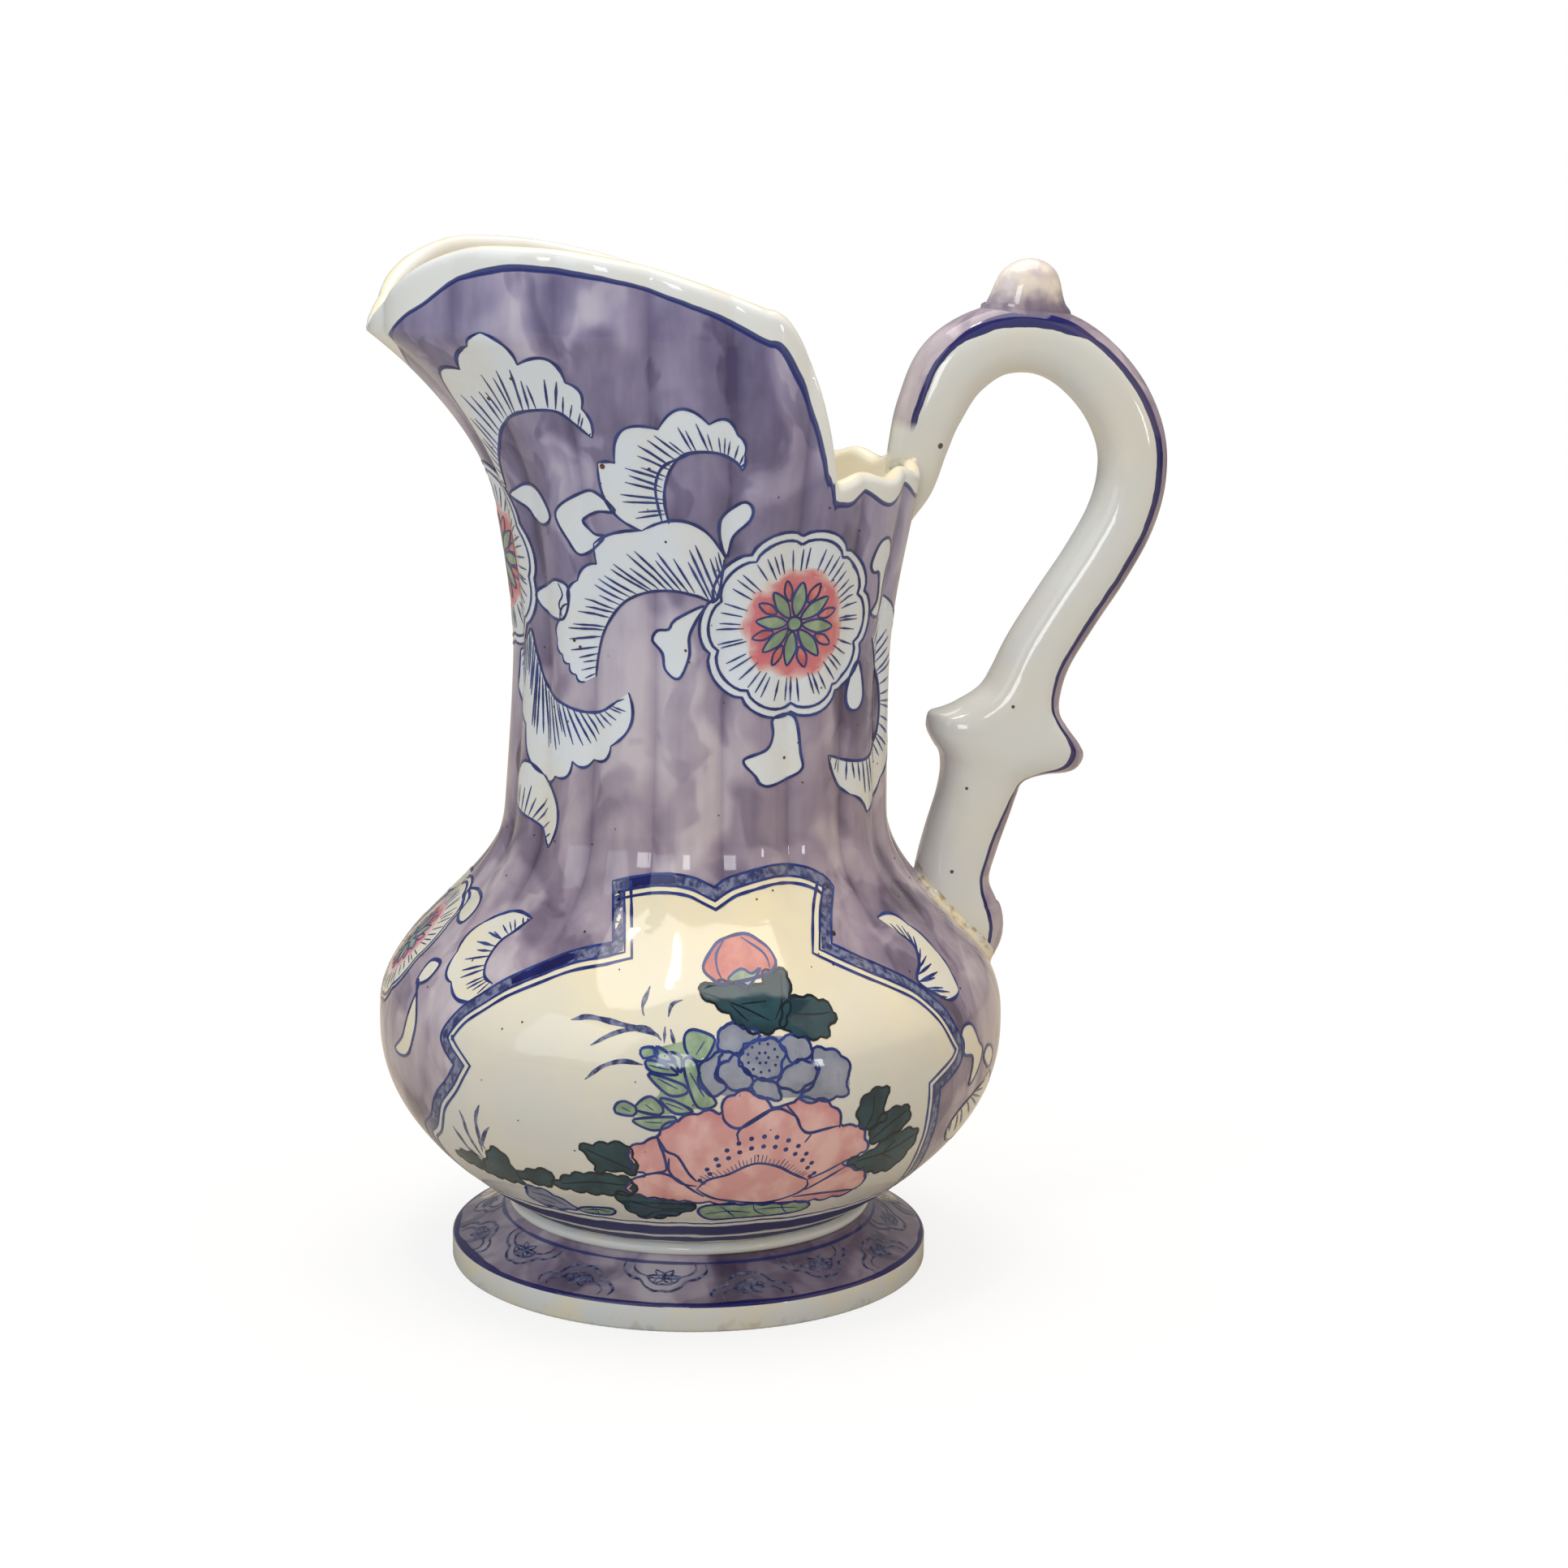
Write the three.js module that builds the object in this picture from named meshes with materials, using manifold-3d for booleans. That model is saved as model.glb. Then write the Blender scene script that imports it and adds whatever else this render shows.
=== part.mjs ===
// A footed porcelain jug: a slip-cast fluted vessel with a broad pouring lip, a flared foot,
// and a scrolled handle with a knuckle, a spur and a thumb knob. The pieces are cast apart and
// luted together with slip, so each seam holds its own thin layer.
// Millimetres, +Z up. The lip points along -X, the handle along +X.
import * as THREE from "three";
import { mergeVertices } from "three/addons/utils/BufferGeometryUtils.js";
import Module from "manifold-3d";

const wasm = await Module();
wasm.setup();

// Foot: a hollow ring with an upright edge and a sloping top
const FOOT_RADIUS = 62.3;
const FOOT_EDGE_HEIGHT = 6.6;
const FOOT_EDGE_SOFTENING = 1;
const FOOT_HEIGHT = 14.6;
const FOOT_RING_WIDTH = 7.5;
const FOOT_WALL = 5;
const FOOT_BORE_RADIUS = 35;
const FOOT_SLOPE_CURVE = 1.3;
const FOOT_SLOPE_STEPS = 3;
const FOOT_SEGMENTS = 72;

// Coil of clay between the foot and the vessel, showing outside as a bead
const BEAD_HEIGHT = 3;
const BEAD_OVERHANG = 1.6;
const BEAD_WIDTH = 9;
const BEAD_STEPS = 4;

// Vessel profile
const JOINT_RADIUS = 46;
const BELLY_RADIUS = 81;
const BELLY_HEIGHT = 65;
const BELLY_ROUNDNESS = 2.2;
const NECK_RADIUS = 48.5;
const NECK_TAPER = 1.8;
const SHOULDER_TOP = 124;
const FLARE_START = 160;
const FLARE_END = 230;
const MOUTH_RADIUS = 57;
const NECK_SET_BACK = 2.5;
const WALL = 5.4;
const FLOOR = 6.5;
const FLOOR_RADIUS = 38;
const RIM_ROLL = WALL / 2;

// Rings of the vessel's outside and inside along each stretch of the profile
const OUTER_BELLY_RINGS = 8;
const OUTER_SHOULDER_RINGS = 10;
const OUTER_NECK_RINGS = 2;
const OUTER_FLARE_RINGS = 8;
const INNER_BELLY_RINGS = 4;
const INNER_SHOULDER_RINGS = 6;
const INNER_NECK_RINGS = 1;
const INNER_FLARE_RINGS = 4;
const ROLL_STEPS = 2;

// Flutes, which fade out on the belly
const FLUTES = 18;
const FLUTE_DEPTH = 1.4;
const FLUTE_FADE_START = 70;
const FLUTE_FADE_END = 112;
const COLUMNS_PER_FLUTE = 4;

// Pouring lip
const LIP_REACH = 29.2;
const LIP_START = 198;
const LIP_END = 241.5;
const LIP_CURVE = 2;
const LIP_POINTEDNESS = 2.2;

// Rim line: angles from the handle in degrees, heights one above the other
const NOTCH_HEIGHT = 208.6;
const NOTCH_SCALLOP = 1.8;
const STEP_START = 60.8;
const STEP_END = 81;
const STEP_EASE = 2.1;
const STEP_COLUMNS = 8;
const COLLAR_RISE = 41.3;
const CREST_ANGLE = 142;
const CREST_RISE = 13.9;
const LIP_TIP_DROP = 20.3;
const LIP_DIP_TURN = 128;

// Handle: a loop from the notch over the crown and down to the shoulder
const HANDLE_RISE = 31.6;
const HANDLE_REACH = 56.4;
const HANDLE_DEPTH = 17.4;
const HANDLE_WIDTH = 17.6;
const HANDLE_FOOT_HEIGHT = 92;
const KNUCKLE_BULGE = 10.5;
const SPUR_BULGE = 12;
const TERMINAL_BULGE = 5;
const HANDLE_SQUARENESS = 0.8;
const HANDLE_SIDES = 16;
const HANDLE_STEPS_PER_STATION = 2;

// Thumb knob on a small flat seat at the crown
const KNOB_HEIGHT = 13;
const KNOB_LENGTH = 24.5;
const KNOB_WIDTH = 13.2;
const KNOB_PLACE = 0.472;
const KNOB_LEAN = 1.2;
const KNOB_SEAT_DROP = 2.2;
const KNOB_SIDES = 24;

// Luting slip
const LUTE = 0.9;
const LUTE_SPREAD = 0.7;
const CLEARANCE = 0.35;

const FULL_TURN = 2 * Math.PI;
const VESSEL_BASE = FOOT_HEIGHT + BEAD_HEIGHT;
const FLOOR_HEIGHT = VESSEL_BASE + FLOOR;
const BEAD_RADIUS = JOINT_RADIUS + BEAD_OVERHANG;

function smoothstep(from, to, value) {
  return THREE.MathUtils.smoothstep(value, from, to);
}

// Share of the swell from the joint to the belly's widest line, steep at first and rounding over.
function bellySwell(from, height) {
  const share = (height - from) / (BELLY_HEIGHT - from);
  return 1 - (1 - share) ** BELLY_ROUNDNESS;
}

// Radius of the plain turned form above the belly's widest line.
function upperProfile(height) {
  const neckFoot = NECK_RADIUS + NECK_TAPER;
  const shoulder = THREE.MathUtils.smootherstep(height, BELLY_HEIGHT, SHOULDER_TOP);
  const taper = smoothstep((BELLY_HEIGHT + SHOULDER_TOP) / 2, FLARE_START, height);
  const flare = smoothstep(FLARE_START, FLARE_END, height);
  const neck = BELLY_RADIUS + (neckFoot - BELLY_RADIUS) * shoulder - NECK_TAPER * taper;
  return neck + (MOUTH_RADIUS - NECK_RADIUS) * flare;
}

function outerProfile(height) {
  if (height >= BELLY_HEIGHT) return upperProfile(height);
  return JOINT_RADIUS + (BELLY_RADIUS - JOINT_RADIUS) * bellySwell(VESSEL_BASE, height);
}

function innerProfile(height) {
  if (height >= BELLY_HEIGHT) return upperProfile(height) - WALL;
  const widest = BELLY_RADIUS - WALL;
  return FLOOR_RADIUS + (widest - FLOOR_RADIUS) * bellySwell(FLOOR_HEIGHT, height);
}

// What the neck's set-back and the lip add to the turned form in one direction.
function lipGrowth(angle, height) {
  const setBack = NECK_SET_BACK * smoothstep(BELLY_HEIGHT, NOTCH_HEIGHT, height) * Math.cos(angle);
  const rise = THREE.MathUtils.clamp((height - LIP_START) / (LIP_END - LIP_START), 0, 1);
  const towardsLip = Math.max(0, -Math.cos(angle)) ** LIP_POINTEDNESS;
  return setBack + LIP_REACH * rise ** LIP_CURVE * towardsLip;
}

// Flutes are broad convex lobes that meet in narrow valleys; one lobe lies under the handle.
function fluteCut(angle, height) {
  const depth = FLUTE_DEPTH * smoothstep(FLUTE_FADE_START, FLUTE_FADE_END, height);
  return depth * (1 - Math.abs(Math.cos((FLUTES / 2) * angle)));
}

// Height of the rim in one direction: a scalloped notch behind, a steep step up to the collar,
// a long rise to the crest, and a dip at the tip of the lip.
function rimHeight(angle) {
  const turn = THREE.MathUtils.radToDeg(Math.abs(Math.atan2(Math.sin(angle), Math.cos(angle))));
  if (turn <= STEP_END) {
    const valley = 1 - Math.abs(Math.cos((FLUTES / 2) * angle));
    const step = THREE.MathUtils.clamp((turn - STEP_START) / (STEP_END - STEP_START), 0, 1);
    const climb = 1 - (1 - step) ** STEP_EASE;
    return NOTCH_HEIGHT + NOTCH_SCALLOP * valley * (1 - climb) + COLLAR_RISE * climb;
  }
  const collar = NOTCH_HEIGHT + COLLAR_RISE;
  if (turn <= CREST_ANGLE) {
    const rise = Math.sin(((turn - STEP_END) / (CREST_ANGLE - STEP_END)) * (Math.PI / 2));
    return collar + CREST_RISE * rise;
  }
  const dipTurn = THREE.MathUtils.degToRad(LIP_DIP_TURN);
  const dip = 1 - Math.cos(((turn - CREST_ANGLE) / (180 - CREST_ANGLE)) * dipTurn);
  return collar + CREST_RISE - LIP_TIP_DROP * (dip / (1 - Math.cos(dipTurn)));
}

// Directions of the vessel's columns: on every crest and valley, and closer where the rim steps up.
function columnAngles() {
  const even = FLUTES * COLUMNS_PER_FLUTE;
  const angles = Array.from({ length: even }, (_, i) => (360 * i) / even);
  const inStep = (turn) => turn > STEP_START && turn < STEP_END;
  const kept = angles.filter((turn) => !inStep(turn) && !inStep(360 - turn));
  for (let i = 1; i < STEP_COLUMNS; i++) {
    const turn = STEP_START + ((STEP_END - STEP_START) * i) / STEP_COLUMNS;
    kept.push(turn, 360 - turn);
  }
  return kept.sort((a, b) => a - b).map(THREE.MathUtils.degToRad);
}

const COLUMNS = columnAngles();

function ringAt(radiusAt, heightAt) {
  return COLUMNS.map((angle) => {
    const height = heightAt(angle);
    const radius = radiusAt(angle, height);
    return new THREE.Vector3(radius * Math.cos(angle), radius * Math.sin(angle), height);
  });
}

// Heights shared out evenly from one level to another.
function levels(from, to, count) {
  return Array.from({ length: count }, (_, i) => from + ((to - from) * i) / count);
}

// Height at which the wall ends and the round of the rim begins.
function rollBase(angle) {
  return rimHeight(angle) - RIM_ROLL;
}

// Levels between the straight neck and the rim, which rise and fall with the rim line.
function flareLevel(share) {
  return (angle) => THREE.MathUtils.lerp(FLARE_START, rollBase(angle), share);
}

// Rings of the vessel's outside, moved out by an offset, from its base to the top of the rolled rim.
function outerRings(offset) {
  const outer = (angle, height) =>
    outerProfile(height) + lipGrowth(angle, height) - fluteCut(angle, height) + offset;
  const heights = [
    ...levels(VESSEL_BASE, BELLY_HEIGHT, OUTER_BELLY_RINGS),
    ...levels(BELLY_HEIGHT, SHOULDER_TOP, OUTER_SHOULDER_RINGS),
    ...levels(SHOULDER_TOP, FLARE_START, OUTER_NECK_RINGS),
    FLARE_START,
  ];
  const rings = heights.map((height) => ringAt(outer, () => height));
  for (let i = 1; i <= OUTER_FLARE_RINGS; i++)
    rings.push(ringAt(outer, flareLevel(i / OUTER_FLARE_RINGS)));
  for (let i = 1; i <= ROLL_STEPS; i++) {
    const turn = ((Math.PI / 2) * i) / ROLL_STEPS;
    rings.push(
      ringAt(
        (angle) => outer(angle, rollBase(angle)) - (RIM_ROLL + offset) * (1 - Math.cos(turn)),
        (angle) => rollBase(angle) + (RIM_ROLL + offset) * Math.sin(turn),
      ),
    );
  }
  return rings;
}

// Rings of the vessel's inside, from the inner edge of the rim down to the floor.
function innerRings() {
  const inner = (angle, height) => innerProfile(height) + lipGrowth(angle, height);
  const rings = [];
  for (let i = 1; i < ROLL_STEPS; i++) {
    const turn = ((Math.PI / 2) * i) / ROLL_STEPS;
    rings.push(
      ringAt(
        (angle) => inner(angle, rollBase(angle)) + RIM_ROLL * (1 - Math.sin(turn)),
        (angle) => rollBase(angle) + RIM_ROLL * Math.cos(turn),
      ),
    );
  }
  for (let i = INNER_FLARE_RINGS; i > 0; i--)
    rings.push(ringAt(inner, flareLevel(i / INNER_FLARE_RINGS)));
  const heights = [
    ...levels(FLARE_START, SHOULDER_TOP, INNER_NECK_RINGS),
    ...levels(SHOULDER_TOP, BELLY_HEIGHT, INNER_SHOULDER_RINGS),
    ...levels(BELLY_HEIGHT, FLOOR_HEIGHT, INNER_BELLY_RINGS),
    FLOOR_HEIGHT,
  ];
  return rings.concat(heights.map((height) => ringAt(inner, () => height)));
}

// Joins rings of equal length into one closed skin, with a fan over each end.
function loft(rings, firstMiddle, lastMiddle) {
  const count = rings[0].length;
  const points = [...rings.flat(), firstMiddle, lastMiddle];
  const first = points.length - 2;
  const last = points.length - 1;
  const topRing = (rings.length - 1) * count;
  const faces = [];
  for (let i = 0; i < count; i++) {
    const next = (i + 1) % count;
    faces.push(first, next, i, last, topRing + i, topRing + next);
    for (let low = 0; low < topRing; low += count) {
      const high = low + count;
      faces.push(low + i, low + next, high + next, low + i, high + next, high + i);
    }
  }
  const geometry = new THREE.BufferGeometry().setFromPoints(points);
  geometry.setIndex(faces);
  geometry.computeVertexNormals();
  return geometry;
}

function middleOf(ring) {
  return ring.reduce((sum, point) => sum.add(point), new THREE.Vector3()).divideScalar(ring.length);
}

function onAxis(height) {
  return new THREE.Vector3(0, 0, height);
}

function vesselGeometry() {
  const rings = [...outerRings(0), ...innerRings()];
  return loft(rings, onAxis(VESSEL_BASE), onAxis(FLOOR_HEIGHT));
}

// The vessel's outside as one filled form, grown by an offset: what the luted pieces are cut to.
function vesselEnvelope(offset) {
  const rings = outerRings(offset);
  return solidOf(loft(rings, onAxis(VESSEL_BASE), onAxis(NOTCH_HEIGHT + offset)));
}

// A profile of [radius, height] pairs turned about the jug's axis.
function turned(profile) {
  const points = [...profile, profile[0]].map(([radius, height]) => new THREE.Vector2(radius, height));
  return new THREE.LatheGeometry(points, FOOT_SEGMENTS).rotateX(Math.PI / 2);
}

function footGeometry() {
  const ringInner = FOOT_RADIUS - FOOT_RING_WIDTH;
  const seatEdge = JOINT_RADIUS + BEAD_OVERHANG / 2;
  const softTop = FOOT_EDGE_HEIGHT + FOOT_EDGE_SOFTENING;
  const slope = [];
  for (let i = 0; i <= FOOT_SLOPE_STEPS; i++) {
    const share = i / FOOT_SLOPE_STEPS;
    slope.push([
      THREE.MathUtils.lerp(FOOT_RADIUS - FOOT_EDGE_SOFTENING, seatEdge, share),
      THREE.MathUtils.lerp(softTop, FOOT_HEIGHT, share ** FOOT_SLOPE_CURVE),
    ]);
  }
  return turned([
    [ringInner, 0],
    [FOOT_RADIUS - FOOT_EDGE_SOFTENING, 0],
    [FOOT_RADIUS, FOOT_EDGE_SOFTENING],
    [FOOT_RADIUS, FOOT_EDGE_HEIGHT],
    ...slope,
    [FOOT_BORE_RADIUS, FOOT_HEIGHT],
    [FOOT_BORE_RADIUS, FOOT_HEIGHT - FOOT_WALL],
    [seatEdge - FOOT_WALL, FOOT_HEIGHT - FOOT_WALL],
    [ringInner - FOOT_EDGE_SOFTENING, FOOT_EDGE_HEIGHT - FOOT_EDGE_SOFTENING],
  ]);
}

function beadGeometry() {
  const outline = [[BEAD_RADIUS - BEAD_WIDTH, FOOT_HEIGHT]];
  for (let i = 0; i <= BEAD_STEPS; i++) {
    const turn = Math.PI * (i / BEAD_STEPS - 0.5);
    outline.push([
      JOINT_RADIUS + BEAD_OVERHANG * Math.cos(turn),
      FOOT_HEIGHT + (BEAD_HEIGHT / 2) * (1 + Math.sin(turn)),
    ]);
  }
  outline.push([BEAD_RADIUS - BEAD_WIDTH, VESSEL_BASE]);
  return turned(outline);
}

const HANDLE_ROOT = outerProfile(NOTCH_HEIGHT) + NECK_SET_BACK;
const SHOULDER_SEAT = outerProfile(HANDLE_FOOT_HEIGHT);

// Stations of the loop above the notch: shares of the reach and the rise along the middle line,
// then shares of half the depth on the hollow side and on the back, and of half the width.
const LOOP_STATIONS = [
  [-0.07, -0.44, 0.2, 0.6, 0.7],
  [-0.02, -0.18, 0.5, 0.9, 0.9],
  [0.015, 0.145, 0.7, 1, 0.95],
  [0.055, 0.435, 0.88, 1.04, 1],
  [0.15, 0.758, 1, 1.14, 1],
  [0.32, 0.968, 1, 1.06, 1],
  [0.525, 1, 1, 1, 1],
  [0.715, 0.866, 1, 1, 1],
  [0.885, 0.575, 1, 1, 1],
  [0.984, 0.226, 1, 1, 1],
];

// Stations of the limb below: shares of the way out from the shoulder seat and down to it,
// shares of half the depth and half the width, then of the knuckle, the spur and the terminal.
const LIMB_STATIONS = [
  [1, 0.03, 1, 1, 0, 0, 0],
  [0.942, 0.123, 1, 1, 0, 0, 0],
  [0.81, 0.221, 1, 1, 0, 0, 0],
  [0.64, 0.323, 1, 1, 0, 0, 0],
  [0.488, 0.421, 1.02, 1, 0, 0, 0],
  [0.41, 0.494, 1.08, 1.03, 0, 0.05, 0],
  [0.362, 0.534, 1.1, 1.06, 0.04, 0.4, 0],
  [0.32, 0.574, 1.12, 1.08, 0.4, 0.95, 0],
  [0.284, 0.613, 1.12, 1.08, 0.95, 1.05, 0],
  [0.248, 0.647, 1.12, 1.08, 0.95, 0.5, 0],
  [0.214, 0.681, 1.1, 1.06, 0.55, 0.03, 0],
  [0.182, 0.711, 1.1, 1.04, 0.22, 0, 0],
  [0.135, 0.762, 1.12, 1.04, 0.05, 0, 0],
  [0.062, 0.847, 1.12, 1.06, 0, 0, 0],
  [0.015, 0.923, 1.1, 1.08, 0, 0, 0.05],
  [0.005, 0.991, 1.05, 1.1, 0, 0, 0.7],
  [0.02, 1.051, 1, 1.1, 0, 0, 1],
  [-0.02, 1.11, 0.95, 1, 0, 0, 0.5],
  [-0.08, 1.16, 0.8, 0.8, 0, 0, 0],
];

// Middle line of the handle, with the half-depth on each side and the half-width at each station.
function handleStations() {
  const halfDepth = HANDLE_DEPTH / 2;
  const halfWidth = HANDLE_WIDTH / 2;
  const places = [];
  const sizes = [];
  for (const [out, up, hollow, back, width] of LOOP_STATIONS) {
    places.push(new THREE.Vector3(HANDLE_ROOT + out * HANDLE_REACH, 0, NOTCH_HEIGHT + up * HANDLE_RISE));
    sizes.push(new THREE.Vector3(hollow * halfDepth, back * halfDepth, width * halfWidth));
  }
  const limbReach = HANDLE_ROOT + HANDLE_REACH - SHOULDER_SEAT;
  const limbDrop = NOTCH_HEIGHT - HANDLE_FOOT_HEIGHT;
  for (const [out, down, depth, width, knuckle, spur, terminal] of LIMB_STATIONS) {
    places.push(new THREE.Vector3(SHOULDER_SEAT + out * limbReach, 0, NOTCH_HEIGHT - down * limbDrop));
    const hollow = depth * halfDepth + knuckle * KNUCKLE_BULGE;
    const back = depth * halfDepth + spur * SPUR_BULGE + terminal * TERMINAL_BULGE;
    sizes.push(new THREE.Vector3(hollow, back, width * halfWidth));
  }
  return { places, sizes };
}

// The handle before its ends are cut to the vessel, grown by an offset.
function handleBlank(offset) {
  const { places, sizes } = handleStations();
  const line = new THREE.CatmullRomCurve3(places, false, "catmullrom");
  const growth = new THREE.CatmullRomCurve3(sizes, false, "catmullrom");
  const across = new THREE.Vector3(0, 1, 0);
  const steps = (places.length - 1) * HANDLE_STEPS_PER_STATION;
  const soften = (value) => Math.sign(value) * Math.abs(value) ** HANDLE_SQUARENESS;
  const rings = [];
  for (let i = 0; i <= steps; i++) {
    const middle = line.getPoint(i / steps);
    const size = growth.getPoint(i / steps);
    const back = line.getTangent(i / steps).cross(across).normalize();
    const ring = [];
    for (let side = 0; side < HANDLE_SIDES; side++) {
      const turn = (FULL_TURN * side) / HANDLE_SIDES;
      const halfDepth = (Math.cos(turn) > 0 ? size.y : size.x) + offset;
      const point = middle.clone().addScaledVector(back, halfDepth * soften(Math.cos(turn)));
      ring.push(point.addScaledVector(across, -(size.z + offset) * soften(Math.sin(turn))));
    }
    rings.push(ring);
  }
  return solidOf(loft(rings, middleOf(rings[0]), middleOf(rings.at(-1))));
}

// A closed geometry as a solid that can be joined and cut, and a solid as a geometry again.
function solidOf(geometry) {
  const bare = geometry.clone();
  bare.deleteAttribute("normal");
  bare.deleteAttribute("uv");
  const merged = mergeVertices(bare);
  const mesh = new wasm.Mesh({
    numProp: 3,
    vertProperties: merged.attributes.position.array,
    triVerts: new Uint32Array(merged.index.array),
  });
  return new wasm.Manifold(mesh);
}

function geometryOf(solid) {
  const { vertProperties, triVerts, numProp } = solid.getMesh();
  const geometry = new THREE.BufferGeometry();
  geometry.setAttribute("position", new THREE.BufferAttribute(vertProperties, numProp));
  geometry.setIndex(new THREE.BufferAttribute(triVerts, 1));
  geometry.computeVertexNormals();
  return geometry;
}

const CROWN_TOP = NOTCH_HEIGHT + HANDLE_RISE + HANDLE_DEPTH / 2;
const KNOB_SEAT = CROWN_TOP - KNOB_SEAT_DROP;
const KNOB_MIDDLE = HANDLE_ROOT + KNOB_PLACE * HANDLE_REACH;

// The handle with both ends cut to the vessel and the crown cut flat for the knob.
function handleGeometry() {
  const slab = new THREE.BoxGeometry(HANDLE_REACH, 2 * HANDLE_WIDTH, HANDLE_DEPTH);
  slab.translate(KNOB_MIDDLE, 0, KNOB_SEAT + HANDLE_DEPTH / 2);
  const cut = vesselEnvelope(LUTE + 2 * CLEARANCE).add(solidOf(slab));
  return geometryOf(handleBlank(0).subtract(cut));
}

// The two slip layers between the handle's ends and the vessel, upper one first.
function handleLutes() {
  const layer = vesselEnvelope(LUTE + CLEARANCE).subtract(vesselEnvelope(CLEARANCE));
  const pads = handleBlank(LUTE_SPREAD).intersect(layer).decompose();
  pads.sort((a, b) => b.boundingBox().max[2] - a.boundingBox().max[2]);
  return pads.map(geometryOf);
}

function knobRing(height, lengthShare, widthShare) {
  const lean = KNOB_LEAN * ((height - KNOB_SEAT) / KNOB_HEIGHT);
  return Array.from({ length: KNOB_SIDES }, (_, side) => {
    const turn = (FULL_TURN * side) / KNOB_SIDES;
    return new THREE.Vector3(
      KNOB_MIDDLE + lean + (KNOB_LENGTH / 2) * lengthShare * Math.cos(turn),
      (KNOB_WIDTH / 2) * widthShare * Math.sin(turn),
      height,
    );
  });
}

// Levels of the knob: shares of its height, length and width.
const KNOB_LEVELS = [
  [0, 1, 1],
  [0.12, 0.86, 0.97],
  [0.32, 0.77, 0.92],
  [0.55, 0.69, 0.86],
  [0.75, 0.57, 0.75],
  [0.9, 0.38, 0.52],
  [0.98, 0.17, 0.24],
];

function knobGeometry() {
  const base = KNOB_SEAT + LUTE;
  const rings = KNOB_LEVELS.map(([up, long, wide]) => knobRing(base + up * KNOB_HEIGHT, long, wide));
  const tip = middleOf(rings.at(-1)).setZ(base + KNOB_HEIGHT);
  return loft(rings, middleOf(rings[0]), tip);
}

function knobLuteGeometry() {
  const rings = [knobRing(KNOB_SEAT, 1, 1), knobRing(KNOB_SEAT + LUTE, 1, 1)];
  return loft(rings, middleOf(rings[0]), middleOf(rings[1]));
}

function glaze(color) {
  return new THREE.MeshStandardMaterial({ color, roughness: 0.15, metalness: 0 });
}

function slip() {
  return new THREE.MeshStandardMaterial({ color: 0xe4d9bd, roughness: 0.35, metalness: 0 });
}

const WHITE_GLAZE = 0xe9e4d3;
const MAUVE_GLAZE = 0x8d83a3;
const [upperLute, lowerLute] = handleLutes();
const pieces = [
  ["body", vesselGeometry(), glaze(MAUVE_GLAZE)],
  ["foot", footGeometry(), glaze(MAUVE_GLAZE)],
  ["foot_luting_bead", beadGeometry(), glaze(WHITE_GLAZE)],
  ["handle", handleGeometry(), glaze(WHITE_GLAZE)],
  ["thumb_knob", knobGeometry(), glaze(MAUVE_GLAZE)],
  ["knob_luting", knobLuteGeometry(), slip()],
  ["upper_handle_luting", upperLute, slip()],
  ["lower_handle_luting", lowerLute, slip()],
];

const assembly = new THREE.Group();
for (const [name, geometry, material] of pieces) {
  const piece = new THREE.Mesh(geometry, material);
  piece.name = name;
  assembly.add(piece);
}

// The origin lies on the table, under the middle of the jug's length.
const middle = new THREE.Box3().setFromObject(assembly).getCenter(new THREE.Vector3());
assembly.position.set(-middle.x, -middle.y, 0);

const jug = new THREE.Group();
jug.add(assembly);

export default jug;
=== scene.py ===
import math
import random

import bmesh
import bpy
from mathutils import Matrix, Vector, noise


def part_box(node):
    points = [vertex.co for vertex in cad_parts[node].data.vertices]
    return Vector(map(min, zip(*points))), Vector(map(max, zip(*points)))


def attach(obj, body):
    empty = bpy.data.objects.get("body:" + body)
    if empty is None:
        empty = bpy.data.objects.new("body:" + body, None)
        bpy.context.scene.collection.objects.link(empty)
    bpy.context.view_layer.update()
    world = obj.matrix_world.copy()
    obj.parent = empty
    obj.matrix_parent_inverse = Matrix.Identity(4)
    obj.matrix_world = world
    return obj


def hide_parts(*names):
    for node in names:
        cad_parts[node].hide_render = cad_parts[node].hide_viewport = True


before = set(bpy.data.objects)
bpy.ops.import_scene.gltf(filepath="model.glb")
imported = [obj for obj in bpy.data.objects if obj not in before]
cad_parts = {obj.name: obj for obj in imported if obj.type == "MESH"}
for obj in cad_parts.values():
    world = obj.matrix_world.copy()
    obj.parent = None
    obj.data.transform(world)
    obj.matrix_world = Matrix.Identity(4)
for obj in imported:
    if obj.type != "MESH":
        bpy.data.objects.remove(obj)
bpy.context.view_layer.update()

# The foot
# A ring of porcelain thrown apart from the vessel and luted under it, hollow below on a narrow standing ring.
# Its upright edge is left white under clear glaze, and its sloping top is washed in mauve.
MM = 0.001
foot_low, foot_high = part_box("foot")
AXIS_X = (foot_low.x + foot_high.x) / 2
FOOT_RADIUS = (foot_high.x - foot_low.x) / 2 / MM
FOOT_HEIGHT = foot_high.z / MM
FOOT_EDGE_HEIGHT = 7.1
FOOT_EDGE_SOFTENING = 0.9
FOOT_RING_WIDTH = 7.5
FOOT_WALL = 5
FOOT_BORE_RADIUS = 35
FOOT_SLOPE_CURVE = 1.3
FOOT_SLOPE_STEPS = 14
FOOT_SEAT_RADIUS = 46.8
FOOT_CEILING_WIDTH = 7
FOOT_RING_TAPER = 1
FOOT_HOLLOW_DROP = 1.5
WASHED_FROM_REACH = 40
FOOT_LINE_WIDTH = 1.5
BEAD_LINE_RADIUS = 48.9
ROUND_STEPS = 180


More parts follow.
